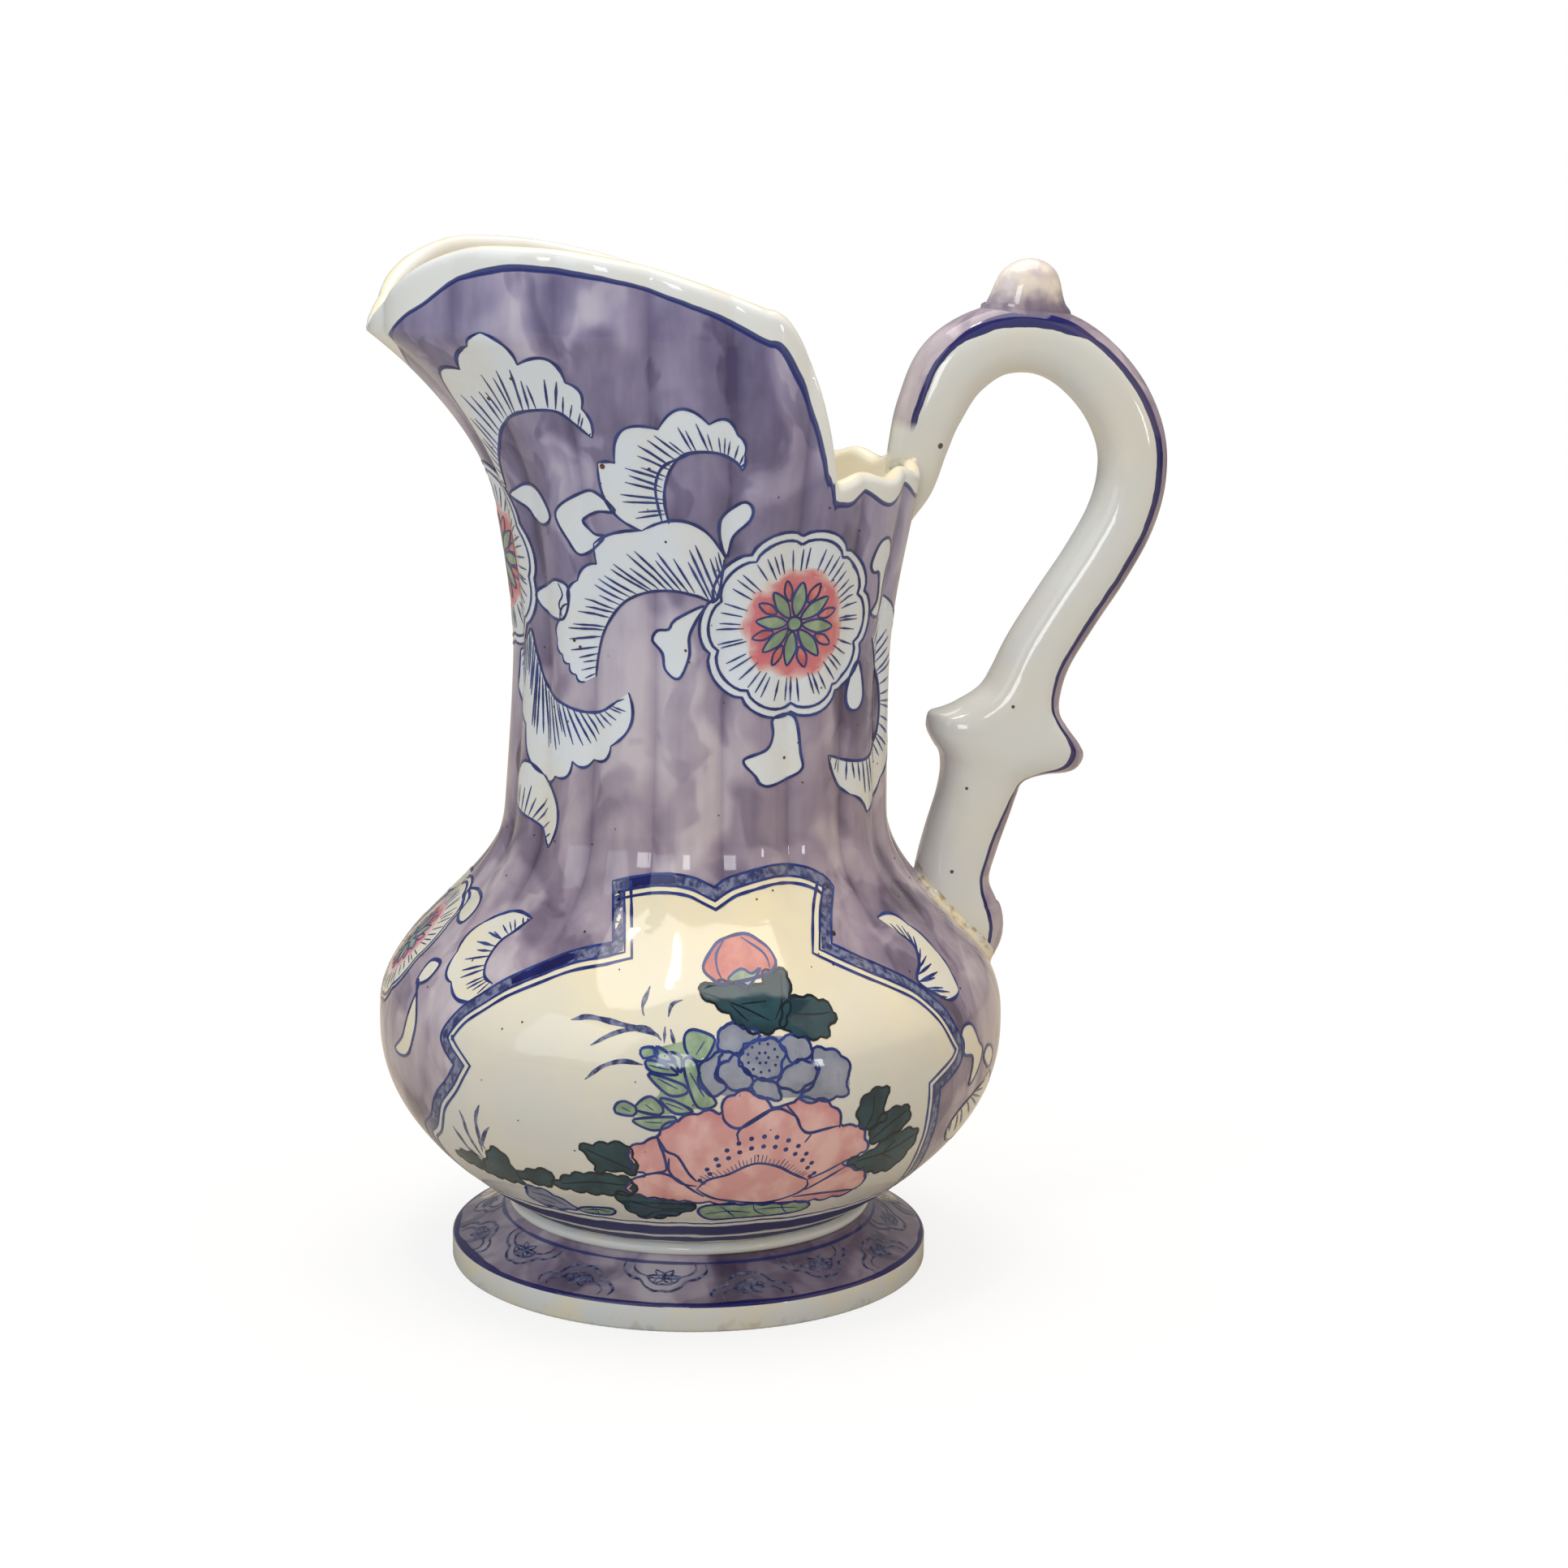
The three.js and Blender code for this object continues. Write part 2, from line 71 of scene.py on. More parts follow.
def foot_slope(reach):
    """The height of the foot's sloping top at one distance from the jug's axis."""
    share = max(0, (FOOT_RADIUS - reach) / (FOOT_RADIUS - FOOT_SEAT_RADIUS))
    return FOOT_EDGE_HEIGHT + (FOOT_HEIGHT - FOOT_EDGE_HEIGHT) * share**FOOT_SLOPE_CURVE


def spun(points, steps=ROUND_STEPS, closed=True, bm=None):
    """A skin: a closed or open outline of (reach, height) points turned once round an upright axis."""
    bm = bm or bmesh.new()
    verts = [bm.verts.new((reach, 0, height)) for reach, height in points]
    following = verts[1:] + verts[:1] if closed else verts[1:]
    edges = [bm.edges.new(pair) for pair in zip(verts, following)]
    bmesh.ops.spin(
        bm, geom=verts + edges, axis=(0, 0, 1), cent=(0, 0, 0), angle=math.tau, steps=steps, use_merge=True
    )
    return bm


def soften(bm, corners, width):
    """Rounds the rings that a spun outline's corner points left."""
    def on_corner(vert):
        reach = math.hypot(vert.co.x, vert.co.y)
        return any(math.dist((reach, vert.co.z), corner) < 0.01 for corner in corners)

    rings = [edge for edge in bm.edges if on_corner(edge.verts[0]) and on_corner(edge.verts[1])]
    bmesh.ops.bevel(
        bm, geom=rings, offset=width, offset_type="OFFSET", affect="EDGES", segments=4, profile=0.5,
        material=-1,
    )


class Wire:
    """A socket of a material's nodes. Arithmetic on wires adds Math nodes."""

    def __init__(self, tree, socket=None):
        self.tree = tree
        self.socket = socket

    def node(self, kind, settings=None, sockets=None, out=0):
        made = self.tree.nodes.new("ShaderNode" + kind)
        for name, value in (settings or {}).items():
            if name == "stops":
                for place, colour in value[1:-1]:
                    made.color_ramp.elements.new(place).color = colour
                for element, (place, colour) in ((0, value[0]), (-1, value[-1])):
                    made.color_ramp.elements[element].position = place
                    made.color_ramp.elements[element].color = colour
            else:
                setattr(made, name, value)
        for name, value in (sockets or {}).items():
            if isinstance(value, Wire):
                self.tree.links.new(value.socket, made.inputs[name])
            else:
                made.inputs[name].default_value = value
        return Wire(self.tree, made.outputs[out])

    def sum(self, operation, *values):
        return self.node("Math", {"operation": operation}, dict(enumerate(values)))

    def __add__(self, other):
        return self.sum("ADD", self, other)

    def __radd__(self, other):
        return self.sum("ADD", other, self)

    def __sub__(self, other):
        return self.sum("SUBTRACT", self, other)

    def __rsub__(self, other):
        return self.sum("SUBTRACT", other, self)

    def __mul__(self, other):
        return self.sum("MULTIPLY", self, other)

    def __rmul__(self, other):
        return self.sum("MULTIPLY", other, self)

    def __pow__(self, other):
        return self.sum("POWER", self, other)

    def __abs__(self):
        return self.sum("ABSOLUTE", self)

    def rise(self, low, high):
        """0 below low and 1 above high, with a soft turn between them."""
        limits = {"Value": self, "From Min": low, "From Max": high}
        return self.node("MapRange", {"interpolation_type": "SMOOTHSTEP"}, limits)

    def over(self, under, colour):
        """The colour laid over the one under it where this mask is 1."""
        return self.node("Mix", {"data_type": "RGBA"}, {0: self, 6: under, 7: colour}, 2)


def paint(code):
    """A colour as it is seen, #rrggbb, in the linear light that a shader reads."""
    seen = [int(code[at : at + 2], 16) / 255 for at in (1, 3, 5)]
    return [c / 12.92 if c < 0.04045 else ((c + 0.055) / 1.055) ** 2.4 for c in seen] + [1]


MAUVES = [paint(code) for code in ("#c6bcc4", "#a496a6", "#807388", "#54475c")]
# A bluer copy of the mauves, mixed in higher up the jug: painted cool daylight on the upper neck.
WINDOW_LIT_MAUVES = [paint(code) for code in ("#c8c7e0", "#a4a1c8", "#7d7aa4", "#504c76")]
WASH_DEPTHS = (0.2, 0.42, 0.62, 0.85)
WINDOW_LIGHT_HEIGHTS = (105, 215)
WHITE_GLAZE = paint("#dcdfdf")
# The brighter, cooler white: painted daylight on the band under the rim and on the inside near the lip.
RIM_WHITE = paint("#ecf0f3")
CREAM_GLAZE = paint("#eadebe")
BLUE = paint("#202f78")
NAVY = paint("#080a60")
STAIN = paint("#9a7c52")
GLAZE_ROUGHNESS = 0.05


def begin(name):
    """A new material, its Object coordinates, and the place in millimetres from the jug's axis."""
    material = bpy.data.materials.new(name)
    material.use_nodes = True
    start = Wire(material.node_tree)
    coords = start.node("TexCoord", out="Object")
    coords = coords.node("Mapping", None, {"Vector": coords, "Location": (-AXIS_X / MM, 0, 0),
                                           "Scale": (1 / MM, 1 / MM, 1 / MM)})
    return material, coords


def speckle(coords, size, detail=2, stretch=1):
    """Soft noise, from about 0.3 to 0.7, of one grain size in millimetres, drawn out upward by stretch."""
    laid = coords.node("Mapping", None, {"Vector": coords, "Scale": (1 / size, 1 / size, 1 / size / stretch)})
    return laid.node("TexNoise", None, {"Vector": laid, "Scale": 1, "Detail": detail, "Roughness": 0.5})


def split(coords):
    """The distance from the jug's axis and the height of a place, in millimetres."""
    place = coords.node("SeparateXYZ", None, {"Vector": coords})
    across = Wire(place.tree, place.socket.node.outputs["Y"])
    height = Wire(place.tree, place.socket.node.outputs["Z"])
    return (place * place + across * across) ** 0.5, height


def mauve_wash(coords, extra=0, window_light_share=0.7):
    """Thin manganese purple laid on in broad brush dabs, which run down and pool as the glaze melts."""
    shift = coords.node("TexNoise", None, {"Vector": coords, "Scale": 0.05, "Detail": 1}, "Color")
    bent = coords.node("VectorMath", {"operation": "MULTIPLY_ADD"}, {0: shift, 1: (22, 22, 40), 2: coords})
    bent = bent.node("Mapping", None, {"Vector": bent, "Scale": (1, 1, 0.55)})
    dabs = bent.node("TexVoronoi", {"feature": "SMOOTH_F1"},
                     {"Vector": bent, "Scale": 0.055, "Smoothness": 0.3}, "Color")
    dab = dabs.node("SeparateColor", None, {"Color": dabs})
    streaks = speckle(coords, 4.5, 2, 6)
    pools = speckle(coords, 15, 4, 1.3)
    first_wash = speckle(bent, 38, 3).rise(0.48, 0.52)
    second_wash = speckle(bent, 21, 3).rise(0.52, 0.57)
    depth = 0.3 * dab + 0.45 * pools + 0.22 * streaks + 0.14 * first_wash + 0.13 * second_wash + extra - 0.09
    # The wash and a bluer copy of it; the copy is mixed in by height as painted cool daylight on the upper
    # neck.
    warm, window_lit = [
        depth.node("ValToRGB", {"stops": list(zip(WASH_DEPTHS, colours))}, {"Fac": depth})
        for colours in (MAUVES, WINDOW_LIT_MAUVES)
    ]
    return (window_light_share * split(coords)[1].rise(*WINDOW_LIGHT_HEIGHTS)).over(warm, window_lit)


def glazed(material, coords, colour, roughness=GLAZE_ROUGHNESS):
    """Fires the colour under a clear shining glaze, very slightly uneven."""
    shader = material.node_tree.nodes["Principled BSDF"]
    ripple = speckle(coords, 9, 2)
    bump = ripple.node("Bump", None, {"Height": ripple, "Strength": 0.06, "Distance": 0.0006})
    links = material.node_tree.links
    links.new(colour.socket, shader.inputs["Base Color"])
    links.new(bump.socket, shader.inputs["Normal"])
    smears = roughness + 0.04 * speckle(coords, 14, 2)
    links.new(smears.socket, shader.inputs["Roughness"])
    shader.inputs["IOR"].default_value = 1.5
    return material


def foot_finish():
    material, coords = begin("mauve_foot_glaze")
    reach, height = split(coords)
    wander = speckle(coords, 9, 2)
    blots = speckle(coords, 26, 1)
    white = (speckle(coords, 15, 3).rise(0.42, 0.66) * 0.6).over(WHITE_GLAZE, CREAM_GLAZE)
    # Brown speckles on the foot's edge, thickest at its very bottom.
    low_speckles = (speckle(coords, 4, 4) - 0.06 * height).rise(0.42, 0.6)
    white = (0.25 * low_speckles).over(white, STAIN)
    upward = height.rise(FOOT_EDGE_HEIGHT - 0.7, FOOT_EDGE_HEIGHT - 0.5)
    upward = upward * reach.rise(WASHED_FROM_REACH, WASHED_FROM_REACH + 1)
    colour = upward.over(white, mauve_wash(coords, -0.03))
    line_width = FOOT_LINE_WIDTH * (0.55 + 0.7 * blots.rise(0.52, 0.66)) + 0.5 * wander
    from_edge = FOOT_RADIUS - reach
    line = upward * (1 - (from_edge - line_width).rise(-0.15, 0.15))
    colour = (0.92 * line).over(colour, NAVY)
    bead_line = upward * (1 - (abs(reach - BEAD_LINE_RADIUS) - 0.7 * wander).rise(-0.1, 0.2))
    colour = (0.8 * bead_line).over(colour, BLUE)
    return glazed(material, coords, colour)


def piece(bm, name, material, slot, *nodes, crease=None):
    """Sets a mesh drawn in millimetres about the jug's axis in its place as a piece of the jug."""
    bmesh.ops.remove_doubles(bm, verts=bm.verts, dist=0.0005)
    bmesh.ops.recalc_face_normals(bm, faces=bm.faces)
    bmesh.ops.scale(bm, vec=(MM, MM, MM), verts=bm.verts)
    bmesh.ops.translate(bm, vec=(AXIS_X, 0, 0), verts=bm.verts)
    for face in bm.faces:
        face.smooth = True
    mesh = bpy.data.meshes.new(name)
    bm.to_mesh(mesh)
    bm.free()
    if crease:
        mesh.set_sharp_from_angle(angle=math.radians(crease))
    mesh.materials.append(material)
    made = bpy.data.objects.new(name, mesh)
    bpy.context.collection.objects.link(made)
    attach(made, "root")
    if nodes:
        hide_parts(*nodes)
    return made


ring_inside = FOOT_RADIUS - FOOT_RING_WIDTH
foot_corners = [(ring_inside, 0), (FOOT_RADIUS, 0), (FOOT_RADIUS, FOOT_EDGE_HEIGHT)]
slope_reaches = [
    FOOT_RADIUS + (FOOT_SEAT_RADIUS - FOOT_RADIUS) * step / FOOT_SLOPE_STEPS
    for step in range(1, FOOT_SLOPE_STEPS + 1)
]
foot = spun(
    foot_corners
    + [(reach, foot_slope(reach)) for reach in slope_reaches]
    + [
        (FOOT_BORE_RADIUS, FOOT_HEIGHT),
        (FOOT_BORE_RADIUS, FOOT_HEIGHT - FOOT_WALL),
        (FOOT_BORE_RADIUS + FOOT_CEILING_WIDTH, FOOT_HEIGHT - FOOT_WALL),
        (ring_inside - FOOT_RING_TAPER, FOOT_EDGE_HEIGHT - FOOT_HOLLOW_DROP),
    ]
)
soften(foot, foot_corners, FOOT_EDGE_SOFTENING)
piece(foot, "jug_foot", foot_finish(), "mauve_glaze", "foot", crease=50)

# The luting bead
# A roll of porcelain slip pressed round the joint between the foot and the vessel and wiped to a half round.
# It is glazed white with the rest of the jug.
BEAD_OVERHANG = 1.6
BEAD_WIDTH = 9
BEAD_STEPS = 10
bead_low, bead_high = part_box("foot_luting_bead")
BEAD_RADIUS = (bead_high.x - bead_low.x) / 2 / MM
bead_middle = (bead_low.z + bead_high.z) / 2 / MM
bead_half = (bead_high.z - bead_low.z) / 2 / MM


def white_finish(name, warm=0.4):
    """White porcelain under clear glaze, creamier where the glaze lies thick."""
    material, coords = begin(name)
    tone = warm * speckle(coords, 18, 3).rise(0.4, 0.7)
    return glazed(material, coords, tone.over(WHITE_GLAZE, CREAM_GLAZE))


bead_outline = [(BEAD_RADIUS - BEAD_WIDTH, bead_middle - bead_half)]
for step in range(BEAD_STEPS + 1):
    turn = math.pi * (step / BEAD_STEPS - 0.5)
    reach = BEAD_RADIUS - BEAD_OVERHANG * (1 - math.cos(turn))
    bead_outline.append((reach, bead_middle + bead_half * math.sin(turn)))
bead_outline.append((BEAD_RADIUS - BEAD_WIDTH, bead_middle + bead_half))
bead_finish = white_finish("white_bead_glaze", 0.3)
piece(spun(bead_outline), "foot_bead", bead_finish, "white_glaze", "foot_luting_bead", crease=50)

# The vessel
# A pear-shaped porcelain body cast in one: belly, fluted neck and mouth, drawn out to a lip in front and cut
# down to a scalloped notch behind. Its outside is washed in mauve below a blue line, its inside glazed cream.
body_low, body_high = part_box("body")
VESSEL_BASE = body_low.z / MM
BELLY_RADIUS = body_high.y / MM
PAINT_ROOM = 0.2
VESSEL_FLOOR = 6.5
JOINT_RADIUS = 46
BELLY_HEIGHT = 65
BELLY_ROUNDNESS = 2.2
NECK_RADIUS = 48.5
NECK_TAPER = 1.8
SHOULDER_TOP = 124
FLARE_START = 160
FLARE_END = 230
MOUTH_RADIUS = 57
NECK_SET_BACK = 2.5
WALL = 5.4
FLOOR_RADIUS = 38
FLOOR_HEIGHT = VESSEL_BASE + VESSEL_FLOOR
RIM_ROLL = WALL / 2
FLUTES = 18
FLUTE_DEPTH = 1.4
FLUTE_FADE_START = 70
FLUTE_FADE_END = 112
LIP_REACH = 28.5
LIP_START = 198
LIP_END = 241.5
LIP_POINTEDNESS = 2.2
NOTCH_HEIGHT = 208.6
NOTCH_SCALLOP = 1.8
STEP_START = 60.8
STEP_END = 81
STEP_EASE = 2.1
COLLAR_RISE = 41.3
COLLAR_HEIGHT = NOTCH_HEIGHT + COLLAR_RISE
CREST_ANGLE = 142
CREST_RISE = 13.85
LIP_TIP_DROP = 20.3
LIP_DIP_TURN = math.radians(128)
COLUMNS = 360
BASE_ROWS = 4
OUTER_ROWS = 150
ROLL_ROWS = 10
INNER_ROWS = 72


def share_of(low, high, value):
    return min(1, max(0, (value - low) / (high - low)))


def smooth(low, high, value):
    share = share_of(low, high, value)
    return share * share * (3 - 2 * share)


def belly_swell(bottom, height):
    return 1 - (1 - share_of(bottom, BELLY_HEIGHT, height)) ** BELLY_ROUNDNESS


def neck_profile(height):
    """The jug's outer radius above the widest part of the belly."""
    share = share_of(BELLY_HEIGHT, SHOULDER_TOP, height)
    shoulder = share**3 * (share * (6 * share - 15) + 10)
    taper = NECK_TAPER * smooth((BELLY_HEIGHT + SHOULDER_TOP) / 2, FLARE_START, height)
    flare = (MOUTH_RADIUS - NECK_RADIUS) * smooth(FLARE_START, FLARE_END, height)
    return BELLY_RADIUS + (NECK_RADIUS + NECK_TAPER - BELLY_RADIUS) * shoulder - taper + flare


def lip_growth(angle, height):
    """How far the neck's set-back and the drawn-out lip carry the wall from the jug's axis."""
    set_back = NECK_SET_BACK * smooth(BELLY_HEIGHT, NOTCH_HEIGHT, height) * math.cos(angle)
    drawn_out = LIP_REACH * share_of(LIP_START, LIP_END, height) ** 2
    return set_back + drawn_out * max(0, -math.cos(angle)) ** LIP_POINTEDNESS


def valley(angle):
    """1 in the sharp valley between two flutes, 0 on a flute's crown."""
    return 1 - abs(math.cos(FLUTES / 2 * angle))


def outer_radius(angle, height):
    if height < BELLY_HEIGHT:
        reach = JOINT_RADIUS + (BELLY_RADIUS - JOINT_RADIUS) * belly_swell(VESSEL_BASE, height)
    else:
        reach = neck_profile(height)
    flute = FLUTE_DEPTH * smooth(FLUTE_FADE_START, FLUTE_FADE_END, height) * valley(angle)
    return reach + lip_growth(angle, height) - flute - PAINT_ROOM


def inner_radius(angle, height):
    if height < BELLY_HEIGHT:
        reach = FLOOR_RADIUS + (BELLY_RADIUS - WALL - FLOOR_RADIUS) * belly_swell(FLOOR_HEIGHT, height)
    else:
        reach = neck_profile(height) - WALL
    return reach + lip_growth(angle, height)


def rim_height(angle):
    """The top of the rim: scalloped notch, steep step, collar up to a crest, and the dip to the lip."""
    turn = abs(math.degrees(math.atan2(math.sin(angle), math.cos(angle))))
    if turn <= STEP_END:
        climb = 1 - (1 - share_of(STEP_START, STEP_END, turn)) ** STEP_EASE
        notch = NOTCH_HEIGHT + NOTCH_SCALLOP * math.sin(FLUTES / 2 * angle) ** 2 * (1 - climb)
        return notch + (COLLAR_HEIGHT - NOTCH_HEIGHT) * climb
    if turn <= CREST_ANGLE:
        return COLLAR_HEIGHT + CREST_RISE * math.sin(math.pi / 2 * share_of(STEP_END, CREST_ANGLE, turn))
    dip = 1 - math.cos(LIP_DIP_TURN * share_of(CREST_ANGLE, 180, turn))
    return COLLAR_HEIGHT + CREST_RISE - LIP_TIP_DROP * dip / (1 - math.cos(LIP_DIP_TURN))


def along(stations, at):
    """The value at one place between (place, value) stations, with a soft turn at each station."""
    for (low, value), (high, next_value) in zip(stations, stations[1:]):
        if at <= high:
            return value + (next_value - value) * smooth(low, high, at)
    return stations[-1][1]


LINE_DROP = [(0, 6), (54, 7), (60, 5.5), (62, 7.5), (64.5, 13), (69, 12.6), (73, 11), (80, 8), (96, 6),
             (117, 5), (136, 4.8), (148, 7), (157, 10.6), (180, 13)]
LINE_WIDTH = [(0, 1.1), (52, 1), (60, 1.4), (68, 1.3), (74, 2.2), (84, 1.5), (112, 1), (128, 1.5),
              (140, 1.7), (154, 0.9), (180, 0.9)]
LINE_SCALLOP = 2.4
LINE_SCALLOP_END = 52
BASE_WHITE_TOP = (28.4, 29)
BASE_BANDS = [(19.6, 1.2), (24.1, 2.1), (27.6, 0.3)]
BASE_DULL_TOP = (25, 33)
# Heights over which painted daylight brightens the white band toward the rim.
RIM_LIGHT_HEIGHTS = (150, 210)
# Heights over which the inside pales from painted shade deep in the mouth to painted light at the lip.
MOUTH_LIGHT_HEIGHTS = (212, 245)


def line_height(angle):
    """The height of the blue line below the rim."""
    turn = abs(math.degrees(math.atan2(math.sin(angle), math.cos(angle))))
    scallop = LINE_SCALLOP * valley(angle) * (1 - smooth(LINE_SCALLOP_END, STEP_START, turn))
    return rim_height(angle) - along(LINE_DROP, turn) + scallop


def lump(rows, columns, place, bm=None):
    """A closed skin of rows round an axis, pointed at both ends, moved to place(vert, row, angle)."""
    ends = (0, rows - 1)
    bm = spun([(0 if row in ends else 1, row) for row in range(rows)], columns, False, bm)
    bmesh.ops.remove_doubles(bm, verts=bm.verts, dist=0.001)
    shape(bm, place)
    return bm


def shape(bm, place):
    """Moves each point of a spun skin, whose height is its row, to place(vert, row, angle)."""
    for vert in bm.verts:
        row = round(vert.co.z)
        vert.co = place(vert, row, math.atan2(vert.co.y, vert.co.x))


def wall_level(share, bottom, top):
    """A height up the wall: even below the shoulder's top, and fitted under the rim above it."""
    if share < 0.5:
        return bottom + (SHOULDER_TOP - bottom) * share * 2
    return SHOULDER_TOP + (top - SHOULDER_TOP) * (share * 2 - 1)


def vessel_place(vert, row, angle):
    rolled = rim_height(angle) - RIM_ROLL
    outside = row - BASE_ROWS
    rolling = outside - OUTER_ROWS
    inside = rolling - ROLL_ROWS
    if outside < 0:
        reach = JOINT_RADIUS * row / BASE_ROWS
        height = VESSEL_BASE
    elif rolling <= 0:
        height = wall_level(outside / OUTER_ROWS, VESSEL_BASE, rolled)
        reach = outer_radius(angle, height)
    elif inside < 0:
        turn = math.pi * rolling / ROLL_ROWS
        middle = (outer_radius(angle, rolled) + inner_radius(angle, rolled)) / 2
        half = (outer_radius(angle, rolled) - inner_radius(angle, rolled)) / 2
        reach = middle + half * math.cos(turn)
        height = rolled + RIM_ROLL * math.sin(turn)
    elif inside <= INNER_ROWS:
        height = wall_level(1 - inside / INNER_ROWS, FLOOR_HEIGHT, rolled)
        reach = inner_radius(angle, height)
    else:
        reach = FLOOR_RADIUS * (1 - (inside - INNER_ROWS) / BASE_ROWS)
        height = FLOOR_HEIGHT
    return Vector((reach * math.cos(angle), reach * math.sin(angle), height))


vessel = lump(BASE_ROWS + OUTER_ROWS + ROLL_ROWS + INNER_ROWS + BASE_ROWS + 1, COLUMNS, vessel_place)
above_line = vessel.verts.layers.float.new("above_line")
line_width = vessel.verts.layers.float.new("line_width")
in_valley = vessel.verts.layers.float.new("in_valley")
inside_wall = vessel.verts.layers.float.new("inside_wall")
for vert in vessel.verts:
    angle = math.atan2(vert.co.y, vert.co.x)
    turn = abs(math.degrees(angle))
    from_outside = outer_radius(angle, vert.co.z) - math.hypot(vert.co.x, vert.co.y)
    climb = line_height(angle + 0.01) - line_height(angle - 0.01)
    slant = math.hypot(1, climb / 0.02 / outer_radius(angle, vert.co.z))
    vert[above_line] = (vert.co.z - line_height(angle)) / slant
    vert[line_width] = along(LINE_WIDTH, turn)
    vert[in_valley] = valley(angle) * smooth(FLUTE_FADE_START, FLUTE_FADE_END, vert.co.z)
    vert[inside_wall] = share_of(0, WALL, from_outside) if vert.co.z > VESSEL_BASE + 0.1 else 0


def layer(coords, name):
    """A value that the mesh carries at each of its points."""
    return coords.node("Attribute", {"attribute_name": name}, out="Fac")


def vessel_finish():
    material, coords = begin("mauve_and_white_glaze")
    height = split(coords)[1]
    wander = speckle(coords, 7, 2) - 0.5
    # The wash darkens along the flute valleys: partly wash pooled in the grooves, partly painted shade there.
    colour = mauve_wash(coords, 0.2 * layer(coords, "in_valley") ** 3 - 0.04)
    white = (0.25 * speckle(coords, 20, 3).rise(0.5, 0.7)).over(WHITE_GLAZE, CREAM_GLAZE)
    # Toward the rim the white turns brighter and cooler: painted daylight on the upper band, while the base
    # band keeps the plain white.
    white = (0.8 * height.rise(*RIM_LIGHT_HEIGHTS)).over(white, RIM_WHITE)
    low = height + 1.5 * wander
    colour = (1 - low.rise(*BASE_WHITE_TOP)).over(colour, white)
    for middle, half in BASE_BANDS:
        band = 1 - (abs(low - middle) - half).rise(-0.15, 0.15)
        colour = (0.95 * band).over(colour, NAVY)
    up = layer(coords, "above_line") + 0.5 * wander
    colour = up.rise(-0.1, 0.1).over(colour, white)
    line = 1 - (abs(up) - 0.5 * layer(coords, "line_width")).rise(-0.12, 0.18)
    colour = (0.93 * line).over(colour, BLUE)
    inner = layer(coords, "inside_wall")
    colour = (0.85 * inner.rise(0.05, 0.3)).over(colour, CREAM_GLAZE)
    # Inside, the cream pales toward the lip: partly thinner glaze at random, partly painted shade deep in the
    # mouth and painted light near its top.
    thin = 0.15 + 0.25 * speckle(coords, 25, 2).rise(0.35, 0.7) + 0.5 * height.rise(*MOUTH_LIGHT_HEIGHTS)
    cream = thin.over(CREAM_GLAZE, RIM_WHITE)
    colour = inner.rise(0.42, 0.66).over(colour, cream)
    return glazed(material, coords, colour, GLAZE_ROUGHNESS + 0.5 * (1 - height.rise(*BASE_DULL_TOP)))


piece(vessel, "jug_body", vessel_finish(), "mauve_glaze", "body")

# The painted ornament
# Leaves, blossoms and a flower panel drawn freehand in cobalt blue, left white or filled in with enamels.
# Each colour is brushed on as one thin coat, on the vessel alike on both sides, and fired under the glaze.
COAT = 0.02
COAT_LIFTS = {"ground": 0.06, "shade": 0.085, "enamel": 0.11, "petal": 0.135, "line": 0.16}
SCORE_TURN = 2.5
SCORE_RISE = 1.6
BRUSH_STEP = 0.9
LINE = 0.7
FINE_LINE = 0.56
FADE_RINGS = 3
VEIN_LINE = 0.35
LEAF_VEIN_LINE = 0.4
GRASS_LINE = 1.1
STAMEN_LINE = 0.32
SPECKS = 90

# Each paint's place in the stack of coats, its finish, deep and pale colours, grain, edge, and the heights
# over which painted light pales it upward.
PAINTS = {
    # The white and the cream pale upward: painted shade low on the belly and painted daylight higher up.
    "white": ("ground", "white_reserve_glaze", "#e2dcc8", "#dde7f5", 14, 0, (95, 160)),
    "cream": ("ground", "cream_panel_glaze", "#d3d4d2", "#f0e4c2", 24, 0, (48, 108)),
    "border": ("shade", "shaded_blue_glaze", "#343a66", "#7d82a0", 1.6),
    "navy": ("enamel", "navy_glaze", "#0d0f4a", "#1a1f64", 5),
    "pink": ("shade", "pale_pink_enamel", "#e4dede", "#d2747f", 5, 0.9),
    "salmon": ("petal", "salmon_enamel", "#b9605a", "#d88f86", 6, 0.4),
    "rose": ("enamel", "rose_enamel", "#c98488", "#e4bab8", 7, 0.4),
    "red": ("petal", "red_enamel", "#b9565b", "#dd8f8c", 3, 0.3),
    "green": ("petal", "light_green_enamel", "#768f79", "#a2b799", 4, 0.3),
    "dark_green": ("enamel", "dark_green_enamel", "#173039", "#294a55", 6, 0.3),
    "slate": ("enamel", "slate_enamel", "#7d8293", "#9a9eaf", 7, 0.4),
    "blue": ("line", "cobalt_line_glaze", "#1c2a6a", "#33458a", 5),
    "ink": ("line", "dark_line_glaze", "#0a121c", "#14202c", 4),
    "iron": ("line", "iron_speck_glaze", "#2a1512", "#6a4028", 4),
}
DARK_PAINTS = ("blue", "border", "navy", "ink", "iron")
rand = random.Random(4)


def on_jug(turn, height, lift):
    """A place on the near side, turn degrees from the handle. Below 0, height is minus the foot's reach."""
    angle = -math.radians(turn)
    reach = -height
    level = foot_slope(reach) + lift
    if height > 0:
        reach = outer_radius(angle, height) + lift
        level = height
    return Vector((reach * math.cos(angle), reach * math.sin(angle), level))


def degree(height):
    """The length of one degree round the vessel or the foot, in millimetres."""
    return math.radians(outer_radius(math.pi / 2, height) if height > 0 else -height)


def flat_gap(here, there):
    """The way from one place to another, to the right and up, in millimetres."""
    grain = degree((here[1] + there[1]) / 2)
    return Vector(((here[0] - there[0]) * grain, there[1] - here[1]))


